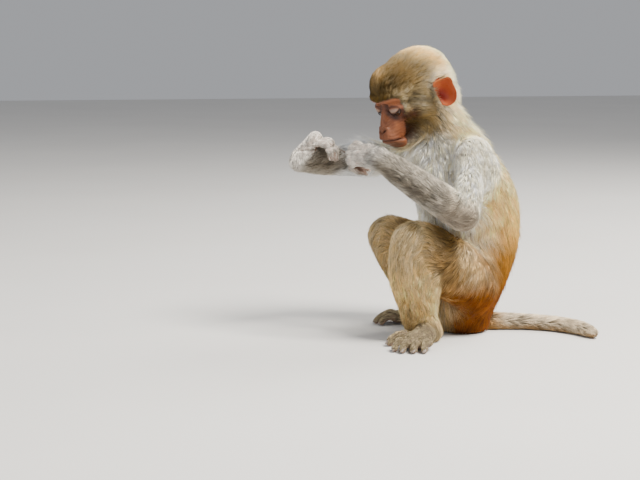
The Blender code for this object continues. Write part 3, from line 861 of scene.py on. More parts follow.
def skinColour(found):
    points, normals, head = found["points"], found["normals"], found["head"]
    forward, left, up = head.T
    side, depth, level = np.abs(left), faceDepth(head), mouthLevel(forward)
    tones = skinTones
    ends = ("finger", weightOf(found, "hand") * 0.85), ("toe", weightOf(found, "foot") * 0.8)
    # the skin under the coat takes the fur's colour, darkened as painted shade deep in the coat
    colour = layered(furColour(found) * 0.62, tones, *ends, ("palm", palmShare(found)))
    steps = [("facePale", hill(up, -2, 9) * hill(side, 20, 9) * 0.35), ("muzzle", smooth(forward, 56, 68))]
    for way in (-1, 1):
        aside, above, far, away = eyeAngles(head, way)
        upper, lower = lidEdges(aside)
        ahead, wide = away[:, 0], np.abs(aside)
        near = fall(far, 12.5, 16) * fall(wide, 50, 66) * smooth(ahead, -1, 2)
        fold = lidPlan["crease"] - 30 * (aside / 60) ** 2
        # painted shade in the eye's socket and in a ring round the eye
        socket = fall(far, 14, 20) * smooth(ahead, -3, 3) * hill(above, -34, 40)
        ring = hill(far, 12.8, 3.2) * smooth(ahead, -6, 1)
        ring *= 0.45 + 0.55 * hill(above, -30, 30) + 0.4 * smooth(-aside, 30, 60)
        # painted shade in the eye's inner and outer corners
        corners = nearby(head, (57.5, way * 6.2, 1.5), 4.2**2) + nearby(head, (51.5, way * 25.0, 1.0), 4.6**2)
        lid = near * smooth(above, upper + 7, upper + 18) * fall(above, fold - 20, fold - 2)
        lid *= 0.86 + 0.14 * np.sin(above * 0.9 + 0.3 * np.sin(aside * 0.2))
        edge = near * fall(wide, lidPlan["half"] + 2, lidPlan["half"] + 9)
        inside = smooth(above, lower - 0.5, lower + 1) * fall(above, upper - 1, upper + 0.5)
        steps += [
            # painted shade: socket, ring, corners and the crease above the lid; the lid and lash lines are
            # their own colour
            ("crease", socket * 0.3),
            ("crease", np.clip(ring, 0, 1) * 0.85),
            ("lash", np.clip(corners, 0, 1) * 0.7),
            ("lid", lid * fall(wide, 38, 62)),
            # painted shadow in the crease above the lid
            ("crease", near * hill(above, fold + 4, 12) * 0.95),
            ("lash", edge * np.clip(1.3 * hill(above, upper + 3.0, 8.5), 0, 1)),
            ("lash", edge * hill(above, lower - 3.0, 7.0) * 0.85),
            ("lash", edge * inside),
            # painted shade inside the nostril
            ("nostril", nostrilShare(head, way)),
        ]
    lines = np.sin(up * 2.4 + 2.2 * np.sin(left * 0.31 + 1.0) + forward * 0.5) * 0.5 + 0.5
    steps += [
        ("crease", hill(up, 9, 6) * smooth(forward, 50, 56) * fall(side, 6, 13) * 0.75),  # painted shadow of the brow on the bridge of the nose
        ("crease", hill(forward, 58, 10) * hill(up, -28, 12) * smooth(side, 11, 17) * 0.4),  # painted shade in the folds beside the lips
        ("lip", hill(up, level + 0.4, 2.0) * smooth(forward, 52, 58) * 0.7),
        ("chin", hill(up, level - 6.5, 4.6) * smooth(forward, 52, 60) * 0.75),
        # painted shade in the line between the lips
        ("nostril", mouthShare(head) * 0.6),
        ("crease", fall(depth, 0, 5) * smooth(up, -40, -20) * fall(up, 8, 14) * 0.5),  # painted shade along the hairline, under the edge of the hair
        # painted shade in fine wrinkle lines on the cheeks
        ("crease", lines**3 * hill(up, -8, 9) * smooth(side, 3, 9) * 0.28),
    ]
    face = layered(tones["face"], tones, *steps)
    # painted shade on the skin under the hair just behind the bare face
    colour = blendTo(colour, colour * 0.6, fall(-depth, 2, 10) * found["headShare"])
    colour = blendTo(colour, face, faceShare(head))
    deep, pale, rimShade = np.zeros((3, len(head)))
    for way in (-1, 1):
        along, rise, lift, reach, rim = earPlaces(head, way)
        reach = reach / rim
        sheet = smooth(rise, -4, 8) * (np.abs(lift) < 12), smooth(rise, -6, 4) * (np.abs(lift) < 12)
        sunk = smooth(-lift, 0.3, 5.0) * (normals @ (axesOfHead @ earAxes(way)[2]) > -0.2)
        # partly the ear's own redder inside, partly painted shade darkening it towards the opening
        deep = np.maximum(deep, sunk * (0.35 + 0.65 * hill(along, 10, 6.5) * hill(rise, -2, 9)))
        pale = np.maximum(pale, smooth(reach, 0.8, 0.95) * sheet[0])
        # painted shade along the edge of the rim
        rimShade = np.maximum(rimShade, hill(reach, 1.0, 0.035) * smooth(along, 14, 20) * sheet[1])
    ear = layered(tones["ear"], tones, ("earPale", pale * 0.6), ("earRedAndHollowShade", deep), ("crease", rimShade * 0.5))
    colour = blendTo(colour, ear, earShare(head))
    return np.clip(colour * (1 + 0.07 * grain(points, 4, 5) + 0.05 * grain(points, 1.4, 6))[:, None], 0, 1)


facePlan = {
    "mouthFront": 75.5,
    "mouthLevel": -25.6,
    "mouthDrop": 0.32,  # how far it falls for each millimetre back from the front of the lips
    "mouthEnd": 56,
    "mouthDeep": 1.6,
    "nostril": (71.0, 3.6, -15.6),
    "nostrilLong": 3.0,
    "nostrilWide": 1.15,
    "nostrilDeep": 3.6,
    "foldHeight": 0.3,
}


def mouthLevel(forward):  # height of the line between the lips
    return facePlan["mouthLevel"] - facePlan["mouthDrop"] * (facePlan["mouthFront"] - forward)


def mouthShare(head):
    forward, end = head[:, 0], facePlan["mouthEnd"]
    return hill(head[:, 2], mouthLevel(forward), 0.7) * smooth(forward, end - 1, end + 2)


def nostrilShare(head, side):
    away = head - np.array(facePlan["nostril"]) * (1, side, 1)
    long = (away[:, 1] * side * 0.85 + away[:, 2] * 0.53) / facePlan["nostrilLong"]
    wide = (away[:, 1] * side * -0.53 + away[:, 2] * 0.85) / facePlan["nostrilWide"]
    return np.exp(-(long**2) - wide**2) * smooth(away[:, 0], -9, -4)


def sculptEyes(head):
    moved = head.copy()
    for side in (-1, 1):
        aside, above, far, away = eyeAngles(moved, side)
        upper, lower = lidEdges(aside)
        inside = np.minimum(upper - above, above - lower)
        thick = lidPlan["thick"] + 0.25 - 0.4 * smooth(-above, -upper, -lower)
        creases = 0.35 * hill(above, lower - 13, 4) + 0.55 * hill(above, lidPlan["crease"] + 3, 5)
        lid = eyePlan["radius"] + thick - creases
        pocket = eyePlan["radius"] - 1.1
        radius = lid + (pocket - lid) * smooth(inside, -0.4, 2.2)
        share = fall(np.abs(aside), 56, 70) * fall(above, 46, 56) * smooth(above, -60, -46)
        share *= fall(far, 13.5, 17) * (away[:, 0] > 0)
        moved += away / np.maximum(far, 1e-6)[:, None] * ((radius - far) * share)[:, None]
    return moved


def sculptFace(head, normals):
    forward, left, up = head.T
    side, level = np.abs(left), mouthLevel(forward)
    front = smooth(forward, 46, 54)
    lips = front * smooth(forward, facePlan["mouthEnd"] - 3, facePlan["mouthEnd"] + 3)
    push = lips * (0.7 * hill(up, level + 2.6, 2.0) + 0.7 * hill(up, level - 2.8, 2.0))
    push -= lips * facePlan["mouthDeep"] * hill(up, level, 0.9)
    push -= 0.6 * hill(side, 0, 1.4) * hill(up, -21.5, 3.6) * smooth(forward, 62, 68)  # under the nose
    push -= 0.8 * hill(side, 0, 2.0) * hill(up, 17, 5) * smooth(forward, 52, 58)  # between the brows
    beside = 10.5 + 0.25 * (-up - 10)  # the fold that runs down beside the nose
    push -= 0.9 * hill(side, beside, 2.2) * hill(up, -13, 8) * smooth(forward, 48, 58)
    underBrow = hill(up + 0.35 * side, 17.5, 1.6) * smooth(forward, 46, 52) * smooth(side, 4, 8)
    push -= 0.8 * underBrow
    for way in (-1, 1):
        aside, above, far, away = eyeAngles(head, way)
        bag = smooth(-above, 40, 58) * fall(far, 21, 27) * smooth(far, 10.2, 12) * smooth(away[:, 0], -4, 2)
        push += facePlan["foldHeight"] * bag * np.sin(far * 2.3 + 0.02 * aside)
        push -= facePlan["nostrilDeep"] * nostrilShare(head, way)
        ring = head - (np.array(facePlan["nostril"]) + (-1.0, 1.8, 0.8)) * (1, way, 1)
        wing = hill(np.linalg.norm(ring, axis=1), 3.6, 1.5)
        push += 0.9 * wing * smooth(forward, 62, 66) * hill(up, -13, 5)
    cheeks = hill(up, -6, 9) * hill(side, 9, 7) * smooth(forward, 50, 56)
    bridge = hill(up, 5, 5) * fall(side, 3, 7) * smooth(forward, 52, 58)
    lip = hill(up, level + 3.5, 2.5) * smooth(forward, 60, 66)
    jowls = hill(up, -20, 8) * smooth(side, 8, 14) * front
    wrinkles = (  # height, how the ridges run, where they are
        (0.24, up * 2.1 + 1.2 * np.sin(left * 0.35), cheeks),
        (0.2, up * 2.6 + 0.8 * np.cos(left * 0.5), bridge),
        (0.14, left * 2.4 + 0.6 * np.sin(up), lip),
        (0.22, (up + 0.45 * side) * 1.5 + np.sin(forward * 0.4), jowls),
    )
    for height, run, share in wrinkles:
        push += height * np.sin(run) * share
    return head + normals * push[:, None]


skinPlan = {
    "voxel": 1.2,
    "allRounds": 2,
    "faceRounds": 6,
    "earRounds": 10,
    "coatRounds": 50,
    "joinRounds": 340,
    "shoulders": ((58, 4, 184), (-54, -8, 196)),
    "joins": (
        *(("upperArm", "trunk"), ("upperArm", "neck"), ("neck", "head")),
        *(("neck", "trunk"), ("thigh", "trunk"), ("tail", "trunk")),
    ),
    "triangles": 118000,
    "offFloor": 0.35,
}


def weigh(obj, name, values):
    group = obj.vertex_groups.new(name=name)
    levels = np.round(np.clip(values, 0, 1) * 10).astype(int)
    for level in range(1, 11):
        group.add(np.nonzero(levels == level)[0].tolist(), level / 10, "REPLACE")


def split(obj, chosen):  # finer faces where all corners are chosen
    form = bmesh.new()
    form.from_mesh(obj.data)
    form.verts.ensure_lookup_table()
    picked = set(np.nonzero(chosen)[0].tolist())
    edges = [edge for edge in form.edges if picked.issuperset(vert.index for vert in edge.verts)]
    bmesh.ops.subdivide_edges(form, edges=edges, cuts=1, use_grid_fill=True)
    form.to_mesh(obj.data)
    form.free()


def evened(obj, rounds, name="", values=None):
    if values is not None:
        weigh(obj, name, values)
    applied(obj, "SMOOTH", factor=0.5, iterations=rounds, vertex_group=name)


def evenOut(skin):  # the face stays sharp, and the joins under the coat melt away
    found = bodyMap(pointsOf(skin.data), normalsOf(skin.data))
    forward, ears = found["head"][:, 0], earShare(found["head"])
    ends = smooth(weightOf(found, "hand", "foot"), 0.3, 0.8)
    face = smooth(faceShare(found["head"]), 0, 0.6) + smooth(forward, 44, 50) * found["headShare"]
    coated = 1 - np.clip(face + ears + ends, 0, 1)
    evened(skin, skinPlan["allRounds"])
    evened(skin, skinPlan["faceRounds"], "face", smooth(forward, 24, 34) * found["headShare"] * (1 - ears))
    evened(skin, skinPlan["earRounds"], "ears", ears)
    evened(skin, skinPlan["coatRounds"], "coated", coated)
    joins = np.zeros(len(ears))
    for first, second in skinPlan["joins"]:
        joins += np.minimum(weightOf(found, first), weightOf(found, second)) * 5
    for centre in skinPlan["shoulders"]:
        joins += fall(np.linalg.norm(found["points"] - centre, axis=1), 26, 46)
    nape = smooth(found["normals"][:, 1], 0.1, 0.6) * smooth(found["points"][:, 2], 205, 225)
    evened(skin, skinPlan["joinRounds"], "joins", np.clip(joins, 0, 1) * coated * (1 - 0.85 * nape))


def makeSkin():
    clay = Clay()
    layTrunk(clay)
    layLimbs(clay)
    layHead(clay)
    skin = clay.thrown("skin")
    mesh = skin.data
    print("skin: clay forms laid,", len(mesh.polygons), "faces")
    applied(skin, "REMESH", mode="VOXEL", voxel_size=skinPlan["voxel"] * mm)
    print("skin: melted together,", len(mesh.polygons), "faces")
    evenOut(skin)
    ratio = skinPlan["triangles"] / (2 * len(mesh.polygons))
    if ratio < 1:
        applied(skin, "DECIMATE", ratio=ratio, vertex_group="coated", vertex_group_factor=1.0)
    print("skin: smoothed and thinned,", len(mesh.polygons), "faces")
    split(skin, faceShare(toHead(pointsOf(mesh))) > 0.05)
    head = toHead(pointsOf(mesh))
    close = np.zeros(len(head), bool)
    for side in (-1, 1):
        aside, above, far, away = eyeAngles(head, side)
        close |= (far < 13.5) & (np.abs(aside) < 70) & (np.abs(above + 2) < 60) & (away[:, 0] > 0)
    split(skin, close)
    print("skin: face made finer,", len(mesh.polygons), "faces")
    head = sculptFace(toHead(pointsOf(mesh)), normalsOf(mesh) @ axesOfHead)
    points = onHead(sculptEyes(head))
    points[:, 2] = np.maximum(points[:, 2], skinPlan["offFloor"])
    setPoints(mesh, points)
    edited(skin, bpy.ops.mesh.quads_convert_to_tris)
    mesh.shade_smooth()
    found = bodyMap(pointsOf(mesh), normalsOf(mesh))
    paint(mesh, "tone", skinColour(found))
    bare = np.clip(faceShare(found["head"]) + earShare(found["head"]), 0, 1)
    paint(mesh, "bareness", bare[:, None])
    skin.vertex_groups.clear()
    print("skin: face and lids shaped,", len(mesh.polygons), "faces")
    return skin


def paint(mesh, name, colours):
    layer = mesh.color_attributes.new(name, "FLOAT_COLOR", "POINT")
    full = np.ones((len(colours), 4), np.float32)
    full[:, :3] = colours
    layer.data.foreach_set("color", full.ravel())


coatPlan = {
    "tufts": 146000,
    "mostInPiece": 19800,
    "clumpSpan": 4.8,  # distance between the middles of neighbouring locks
    "gather": 0.4,  # how far the tips of a lock draw together
    "strays": 0.035,
    "strayShape": (1.25, 1.5, 0.55),  # length, height and width against the other tufts
    "seed": 11,
    "calmHead": 0.68,  # how much more evenly the head's hair lies
    "turns": (15, 11, 6),  # degrees: broad swirls, small swirls, each tuft by itself
    "lengths": (0.88, 0.24),  # least share and how much chance adds to it
    "heights": (0.72, 0.4),
    "widths": (0.75, 0.5),
    "rootDepth": 0.5,
    "behindEar": 0.12,  # share of the height that is left where the ear's sheet lies over the hair
    "flecks": (0.14, 0.2, 0.17),  # patches, locks, each tuft by itself
    "evenHead": 0.6,
    "gold": (0.10, -0.03, -0.32),
    "offFloor": 1.0,
}

# length, height of the tips over the skin, width of a tuft, tufts for each square millimetre
coatTable = {
    "head": (15, 4.6, 0.44, 1.5),
    "muzzle": (6, 1.3, 0.4, 0.9),
    "neck": (21, 7.2, 0.62, 0.95),
    "trunk": (23, 8.6, 0.68, 0.7),
    "tail": (18, 3.8, 0.6, 0.9),
    "upperArm": (21, 5.4, 0.66, 0.8),
    "forearm": (16, 3.7, 0.55, 0.85),
    "hand": (5, 0.8, 0.36, 1.15),
    "thigh": (19, 6.2, 0.64, 0.68),
    "shin": (18, 5.2, 0.6, 0.75),
    "foot": (9, 1.7, 0.45, 0.85),
}
coatPieces = {
    "coat_head": ("head", "muzzle"),
    "coat_neck": ("neck",),
    "coat_trunk": ("trunk",),
    "coat_tail": ("tail",),
    "coat_arm_left": ("upperArm_left", "forearm_left", "hand_left"),
    "coat_arm_right": ("upperArm_right", "forearm_right", "hand_right"),
    "coat_leg_left": ("thigh_left", "shin_left", "foot_left"),
    "coat_leg_right": ("thigh_right", "shin_right", "foot_right"),
}


def perPart(found, column):
    return sum(found["weight"][name] * coatTable[name.split("_")[0]][column] for name in partNames)


# what the lie of the hair on each part adds to the way from the body outwards
coatDroop = {
    "trunk": (0, 0.05, -0.4),
    "upperArm": (0, 0.3, -1.5),
    "thigh": (0, 0.6, -1.4),
    "shin": (0, 0, -0.4),
    "forearm": (0, 0.2, -0.15),
    "tail": (0, 0, -0.1),
}


def coatLie(found):  # which way the hair runs
    points = found["points"]
    way = np.zeros(points.shape)
    for name in partNames[2:]:  # all but the head
        part, along = name.split("_")[0], found["share"][name]
        fade = 1 - smooth(along, 0.4, 0.75) * (part in ("thigh", "upperArm"))
        droop = fade[:, None] * np.array(coatDroop.get(part, (0, 0, 0)))
        if part == "upperArm":
            side = limbPlan[name.split("_")[1]]["side"]
            droop = blendTo(droop, (side * 0.45, 0.3, -1.3), fall(along, 0.15, 0.45))
        way += (found["way"][name] + droop) * found["weight"][name][:, None]
    throat = smooth(-points[:, 1], 34, 52) * smooth(points[:, 2], 176, 200) * weightOf(found, "neck", "trunk")
    way += throat[:, None] * np.array((0.0, -0.75, 0.15))
    forward, left, up = found["head"].T
    side, flat = np.sign(left) * smooth(np.abs(left), 4, 20), np.zeros(len(left))
    brow = smooth(forward, 50, 60) * fall(up, 24, 34)
    cheek = flat - 0.85, 0.15 * side, -0.42 - 0.35 * smooth(-up, 8, 26)
    top = 0.7 * brow - 1.0, (0.12 + 0.2 * brow) * side, 0.25 * smooth(forward, 30, 50) + 0.7 * brow
    nape = flat - 0.5, 0.3 * side, flat - 1.0
    lie = blendTo(np.stack(cheek, axis=1), np.stack(top, axis=1), np.maximum(smooth(up, 6, 26), brow))
    lie = blendTo(lie, np.stack(nape, axis=1), fall(forward, -26, -6) * fall(up, 18, 40))
    return way + (lie @ axesOfHead.T) * found["headShare"][:, None]


def turned(way, normals, degrees):
    angle = np.radians(degrees)[:, None]
    return way * np.cos(angle) + np.cross(normals, way) * np.sin(angle)


def flatOn(way, normals):
    return unit(way - normals * (way * normals).sum(axis=1, keepdims=True))


def nearestOn(tree, points):
    found = [tree.find_nearest(point)[:2] for point in (points * mm).tolist()]
    spots, faces = np.array([spot for spot, face in found]), np.array([face for spot, face in found])
    return spots / mm, faces


def sproutRoots(skin, dice):
    mesh = skin.data
    corners = np.empty(len(mesh.polygons) * 3, np.int32)
    mesh.polygons.foreach_get("vertices", corners)
    corners = corners.reshape(-1, 3)
    places, normals = pointsOf(mesh)[corners], normalsOf(mesh)[corners]
    area = np.linalg.norm(np.cross(places[:, 1] - places[:, 0], places[:, 2] - places[:, 0]), axis=1) / 2
    middle, facing = places.mean(axis=1), unit(normals.mean(axis=1))
    found = bodyMap(middle, facing)
    behind = -faceDepth(found["head"])
    bare = smooth(-behind, 0.8, 3.2) + earShare(found["head"]) + palmShare(found) * 0.97
    want = area * perPart(found, 3) * (1 - np.clip(bare, 0, 1)) * (middle[:, 2] > 1.2)
    want *= 1 + 1.1 * fall(behind, 2, 6) * found["headShare"]
    want *= 1 - 0.9 * smooth(-facing[:, 2], 0.75, 0.95) * (middle[:, 2] < 14)
    print("coat: wanted tufts", int(want.sum()))
    count = min(coatPlan["tufts"], int(want.sum()))
    steps = np.cumsum(want) / want.sum()
    picked = np.searchsorted(steps, (np.arange(count) + dice.random(count)) / count)
    picked = np.minimum(picked, len(area) - 1)
    a, b = dice.random((2, count, 1))
    flip = a + b > 1
    a, b = np.where(flip, 1 - a, a), np.where(flip, 1 - b, b)

    def spread(corner):
        first, second, third = corner[picked].transpose(1, 0, 2)
        return first + (second - first) * a + (third - first) * b

    return spread(places), unit(spread(normals))


def coatSizes(found, dice):  # length, height and width of each tuft, and whether it strays
    head, headShare, roots = found["head"], found["headShare"], found["points"]

    def varied(column, name):
        least, spread = coatPlan[name]
        return perPart(found, column) * (least + spread * dice.random(len(roots)))

    length, height, width = varied(0, "lengths"), varied(1, "heights"), varied(2, "widths")
    length *= 1 + 0.16 * grain(roots, 9, 3)
    for side in (-1, 1):
        along, rise, lift, reach, edge = earPlaces(head, side)
        under = (reach < edge + 0.05) & (np.abs(lift) < 16) & (along < 13)  # behind the ear's own sheet
        before = smooth(along, -15, -4) * fall(along, 3, 9) * fall(np.abs(rise), 16, 25)
        before *= smooth(head[:, 1] * side, 20, 27)
        length *= 1 - 0.78 * before
        height *= np.where(under, coatPlan["behindEar"], 1) * (1 - 0.65 * before)
    rim = fall(-faceDepth(head), 0, 17) * headShare  # shorter towards the face
    rim *= 1 - 0.55 * smooth(head[:, 2], 13, 18)  # but hanging over the brow
    ruff = fall(head[:, 0], -16, 2) * fall(head[:, 2], 16, 34) * weightOf(found, "head", "neck")
    fringe = nearby(head, (-27, 30, -14), 220, 1)
    tousled = nearby(roots, (-55, -82, 215), 500)
    length *= (1 - 0.6 * rim) * (1 + 0.2 * ruff) * (1 + 0.25 * fringe + 0.6 * tousled)
    height *= (1 - 0.8 * rim) * (1 + 0.1 * ruff) * (1 + 0.5 * fringe + 1.6 * tousled)
    width *= 1 - 0.2 * rim
    throat = smooth(-roots[:, 1], 40, 60) * smooth(roots[:, 2], 186, 205) * weightOf(found, "neck", "trunk")
    stray = dice.random(len(roots)) < coatPlan["strays"] + 0.16 * ruff + 0.12 * throat + 0.25 * tousled
    for size, share in zip((length, height, width), coatPlan["strayShape"]):
        size *= np.where(stray, share, 1)
    return length, height, width, stray


def layTufts(tree, found, way, length, height, stray):  # root, bend and tip of each tuft, along the skin
    roots, normals = found["points"], found["normals"]
    middle, facing = nearestOn(tree, roots + way * (length * 0.48)[:, None])
    ends, endFacing = nearestOn(tree, middle + flatOn(way, facing) * (length * 0.5)[:, None])
    start = roots - normals * coatPlan["rootDepth"]
    bend = middle + facing * (height * np.where(stray, 0.5, 0.66))[:, None]
    tips = ends + endFacing * height[:, None]
    first, second = bend - start, tips - bend
    straight = (unit(first) * unit(second)).sum(axis=1)
    caught = straight < 0.55 - 0.5 * weightOf(found, "head")  # drawn on to another part, so cut short
    reach = np.minimum(np.linalg.norm(first, axis=1), length * 0.5)
    bend = np.where(caught[:, None], start + unit(first) * (reach * 0.6)[:, None], bend)
    tips = np.where(caught[:, None], start + unit(first) * reach[:, None], tips)
    return start, bend, tips, facing


def coatShade(found, locks, dice):  # the markings with their painted shade and light, flecked and gilded from lock to lock
    patches, lockSpread, own = coatPlan["flecks"]
    lockTone = dice.normal(0, lockSpread, locks.max() + 1)[locks]
    golden = dice.random(locks.max() + 1)[locks] * weightOf(found, "trunk", "head", "neck", "thigh", "shin")
    fleck = patches * grain(found["points"], 5.5, 8) + lockTone + dice.normal(0, own, len(locks))
    fleck = 1 + (1 - coatPlan["evenHead"] * found["headShare"]) * fleck
    shade = furColour(found) * np.clip(fleck, 0.4, 1.5)[:, None]
    return np.clip(shade * (1 + golden[:, None] * np.array(coatPlan["gold"])), 0.004, 0.95)


def growCoat(skin):
    dice = np.random.default_rng(coatPlan["seed"])
    roots, normals = sproutRoots(skin, dice)
    found = bodyMap(roots, normals)
    tree = BVHTree.FromObject(skin, bpy.context.evaluated_depsgraph_get())
    broad, small, own = coatPlan["turns"]
    stir = broad * grain(roots, 17, 1) + small * grain(roots, 6, 2) + dice.normal(0, own, len(roots))
    stir *= 1 - coatPlan["calmHead"] * found["headShare"]
    way = turned(flatOn(coatLie(found), normals), normals, stir)
    length, height, width, stray = coatSizes(found, dice)
    start, bend, tips, facing = layTufts(tree, found, way, length, height, stray)
    locks = gatherLocks(roots, bend, tips, dice)
    for row in (bend, tips):
        row[:, 2] = np.maximum(row[:, 2], coatPlan["offFloor"])
    tufts = {"start": start, "bend": bend, "tips": tips, "facing": facing, "width": width}
    tufts |= {"shade": coatShade(found, locks, dice), "chart": chartPlaces(found)}
    tufts["part"] = np.array(partNames)[found["main"]]
    print("coat: laid", len(roots), "tufts")
    pieces = []
    for name, parts in coatPieces.items():
        chosen = np.nonzero(np.isin(tufts["part"], parts))[0]
        lots = int(np.ceil(len(chosen) / coatPlan["mostInPiece"]))
        if lots > 1:  # upper and lower lots of a big part
            chosen = chosen[np.argsort(roots[chosen, 2], kind="stable")]
        for lot, own in enumerate(np.array_split(chosen, lots)):
            full = name if lots == 1 else f"{name}_{lot + 1}"
            pieces.append(tuftMesh(full, {key: values[own] for key, values in tufts.items()}, parts))
    return pieces


def gatherLocks(roots, bend, tips, dice):
    cells = np.floor(roots / coatPlan["clumpSpan"] + dice.random(3)).astype(np.int64)
    keys = cells[:, 0] * 1000003 + cells[:, 1] * 1009 + cells[:, 2]
    first = np.unique(keys, return_index=True)[1]
    tree = KDTree(len(first))
    for k, index in enumerate(first):
        tree.insert(roots[index], k)
    tree.balance()
    strayed = roots + dice.normal(0, 0.6, roots.shape)
    owner = np.array([first[tree.find(place)[1]] for place in strayed.tolist()])
    draw = coatPlan["gather"] * (0.6 + 0.8 * dice.random(len(roots)))[:, None]
    away = tips[owner] - tips
    far = np.linalg.norm(away, axis=1, keepdims=True)
    way = unit(tips - roots)
    alike = (way * way[owner]).sum(axis=1, keepdims=True)
    draw *= (far < 9) * smooth(alike, 0.6, 0.9)
    tips += away * draw
    bend += (bend[owner] - bend) * draw * 0.3
    return owner


def chartPlaces(found):  # each part rolled out flat: round it one way, along it the other
    places = np.zeros((len(found["points"]), 2))
    names = np.array(partNames)[found["main"]]
    for name in partNames:
        own = names == name
        if name in ("head", "muzzle"):
            ahead, left, up = (found["head"][own] - (8, 0, 6)).T
            far = np.linalg.norm((ahead, left, up), axis=0)
            turn, along = np.arctan2(left, up), np.arccos(np.clip(ahead / far, -1, 1)) / math.pi
        else:
            line = np.array(boneLines[name], float)[:, :3]
            axis = unit(line[-1] - line[0])
            wide = unit(np.cross(axis, (0.3, 1, 0.2)))
            away = found["points"][own] - line.mean(axis=0)
            turn = np.arctan2(away @ wide, away @ np.cross(axis, wide))
            along = (away @ axis) / np.linalg.norm(line[-1] - line[0]) + 0.5
        places[own] = np.stack((turn / (2 * math.pi) + 0.5, along), axis=1)
    return places


# a tuft has three root points, three at its bend and a tip
tuftPlan = {
    "ring": ((0.0, 0.55), (0.5, -0.12), (-0.5, -0.12)),
    "rootWidth": 0.6,
    "faces": ((0, 2, 1), (0, 1, 4, 3), (1, 2, 5, 4), (2, 0, 3, 5), (3, 4, 6), (4, 5, 6), (5, 3, 6)),
    # roots painted darker as shade deep in the coat; the bend a little darker and the tips lighter, partly
    # the hair's own colour, partly painted shade and light
    "bendTone": 0.92,
    "tipTone": 1.22,
    "patch": 0.003,  # how much of the chart one tuft takes
    "margin": 0.01,
}


def tuftMesh(name, tufts, parts):
    start, bend, tips, width, shade = (tufts[key] for key in ("start", "bend", "tips", "width", "shade"))
    count = len(start)
    onward = unit(tips - start)
    across = unit(np.cross(onward, tufts["facing"]))
    points = np.empty((count, 7, 3))
    for k, (aside, above) in enumerate(tuftPlan["ring"]):
        push = across * aside + np.cross(across, onward) * above
        points[:, k] = start + push * (width * tuftPlan["rootWidth"])[:, None]
        points[:, 3 + k] = bend + push * width[:, None]
    points[:, 6] = tips
    faces = tuftPlan["faces"]
    sizes = [len(face) for face in faces]
    corners, firsts = np.concatenate(faces), np.cumsum([0] + sizes[:-1])
    tuft = np.arange(count)[:, None]
    mesh = bpy.data.meshes.new(name)
    mesh.vertices.add(count * 7)
    mesh.vertices.foreach_set("co", (points * mm).astype(np.float32).ravel())
    mesh.loops.add(count * len(corners))
    mesh.loops.foreach_set("vertex_index", (corners + tuft * 7).astype(np.int32).ravel())
    mesh.polygons.add(count * len(faces))
    mesh.polygons.foreach_set("loop_start", (firsts + tuft * len(corners)).astype(np.int32).ravel())
    mesh.polygons.foreach_set("use_smooth", np.ones(count * len(faces), bool))
    mesh.update(calc_edges=True)
    tone = np.empty((count, 7, 3))
    rootShade = 0.3 + 0.28 * smooth(shade.mean(axis=1), 0.2, 0.7)  # painted shade at the roots, deep in the coat, lighter for pale hair, which is pale to its root
    tone[:, :3] = (shade * rootShade[:, None])[:, None]
    tone[:, 3:6] = shade[:, None] * tuftPlan["bendTone"]
    tone[:, 6] = np.clip(shade * tuftPlan["tipTone"] + 0.02, 0, 1)
    paint(mesh, "tone", tone.reshape(-1, 3))
    layoutCharts(mesh, tufts["chart"], tufts["part"], parts)
    return linked(name, mesh)


def layoutCharts(mesh, chart, names, parts):
    edge = tuftPlan["margin"]
    spot = np.empty(chart.shape)
    for row, part in enumerate(parts):
        own = names == part
        if own.any():
            low, high = chart[own].min(axis=0), chart[own].max(axis=0)
            rolled = edge + (chart[own] - low) / np.maximum(high - low, 1e-6) * (1 - 2 * edge)
            spot[own] = (rolled + (0, row)) / (1, len(parts))
    thirds = [(k / 3, (k + 1) / 3) for k in range(3)]
    local = [(0.4, 0.0), (0.5, 0.05), (0.6, 0.0)]
    local += [place for a, b in thirds for place in ((a, 0), (b, 0), (b, 0.5), (a, 0.5))]
    local += [place for a, b in thirds for place in ((a, 0.5), (b, 0.5), ((a + b) / 2, 1))]
    full = spot[:, None] + (np.array(local) - 0.5) * tuftPlan["patch"]
    mesh.uv_layers.new(name="OFBake").data.foreach_set("uv", full.astype(np.float32).ravel())


class Wire:  # a socket that can be summed like a number
    tree = None

    def __init__(self, socket):
        self.socket = socket

    @classmethod
    def node(cls, kind, settings, inputs, output=0):
        made = cls.tree.nodes.new(kind)
        for key, value in settings.items():
            setattr(made, key, value)
        for key, value in inputs.items():
            if isinstance(value, Wire):
                cls.tree.links.new(value.socket, made.inputs[key])
            else:
                made.inputs[key].default_value = value
        return cls(made.outputs[output])

    def math(self, operation, other, swapped=False):
        pair = (other, self) if swapped else (self, other)
        return self.node("ShaderNodeMath", {"operation": operation}, dict(enumerate(pair)))

    def __add__(self, other):
        return self.math("ADD", other)

    def __mul__(self, other):
        return self.math("MULTIPLY", other)

    def __sub__(self, other):
        return self.math("SUBTRACT", other)

    def __rsub__(self, other):
        return self.math("SUBTRACT", other, True)

    __radd__, __rmul__ = __add__, __mul__

    def above(self, low, high):  # 0 below low, 1 above high
        kind = {"interpolation_type": "SMOOTHSTEP"}
        return self.node("ShaderNodeMapRange", kind, {0: self, 1: low, 2: high})


def mixed(first, second, share, how="MIX"):
    kind = {"data_type": "RGBA", "blend_type": how}
    return Wire.node("ShaderNodeMix", kind, {0: share, 6: first, 7: second}, 2)


def noise(place, scale, detail=2.0, rough=0.5):
    inputs = {"Vector": place, "Scale": scale, "Detail": detail, "Roughness": rough}
    return Wire.node("ShaderNodeTexNoise", {}, inputs)


def here():
    return Wire.node("ShaderNodeTexCoord", {}, {}, 3)


def tinted(name):
    return Wire.node("ShaderNodeVertexColor", {"layer_name": name}, {})


def material(name, constants):
    made = bpy.data.materials.new(name)
    made.use_nodes = True
    Wire.tree = made.node_tree
    shader = made.node_tree.nodes["Principled BSDF"]
    for key, value in constants.items():
        shader.inputs[key].default_value = value
    return made, shader


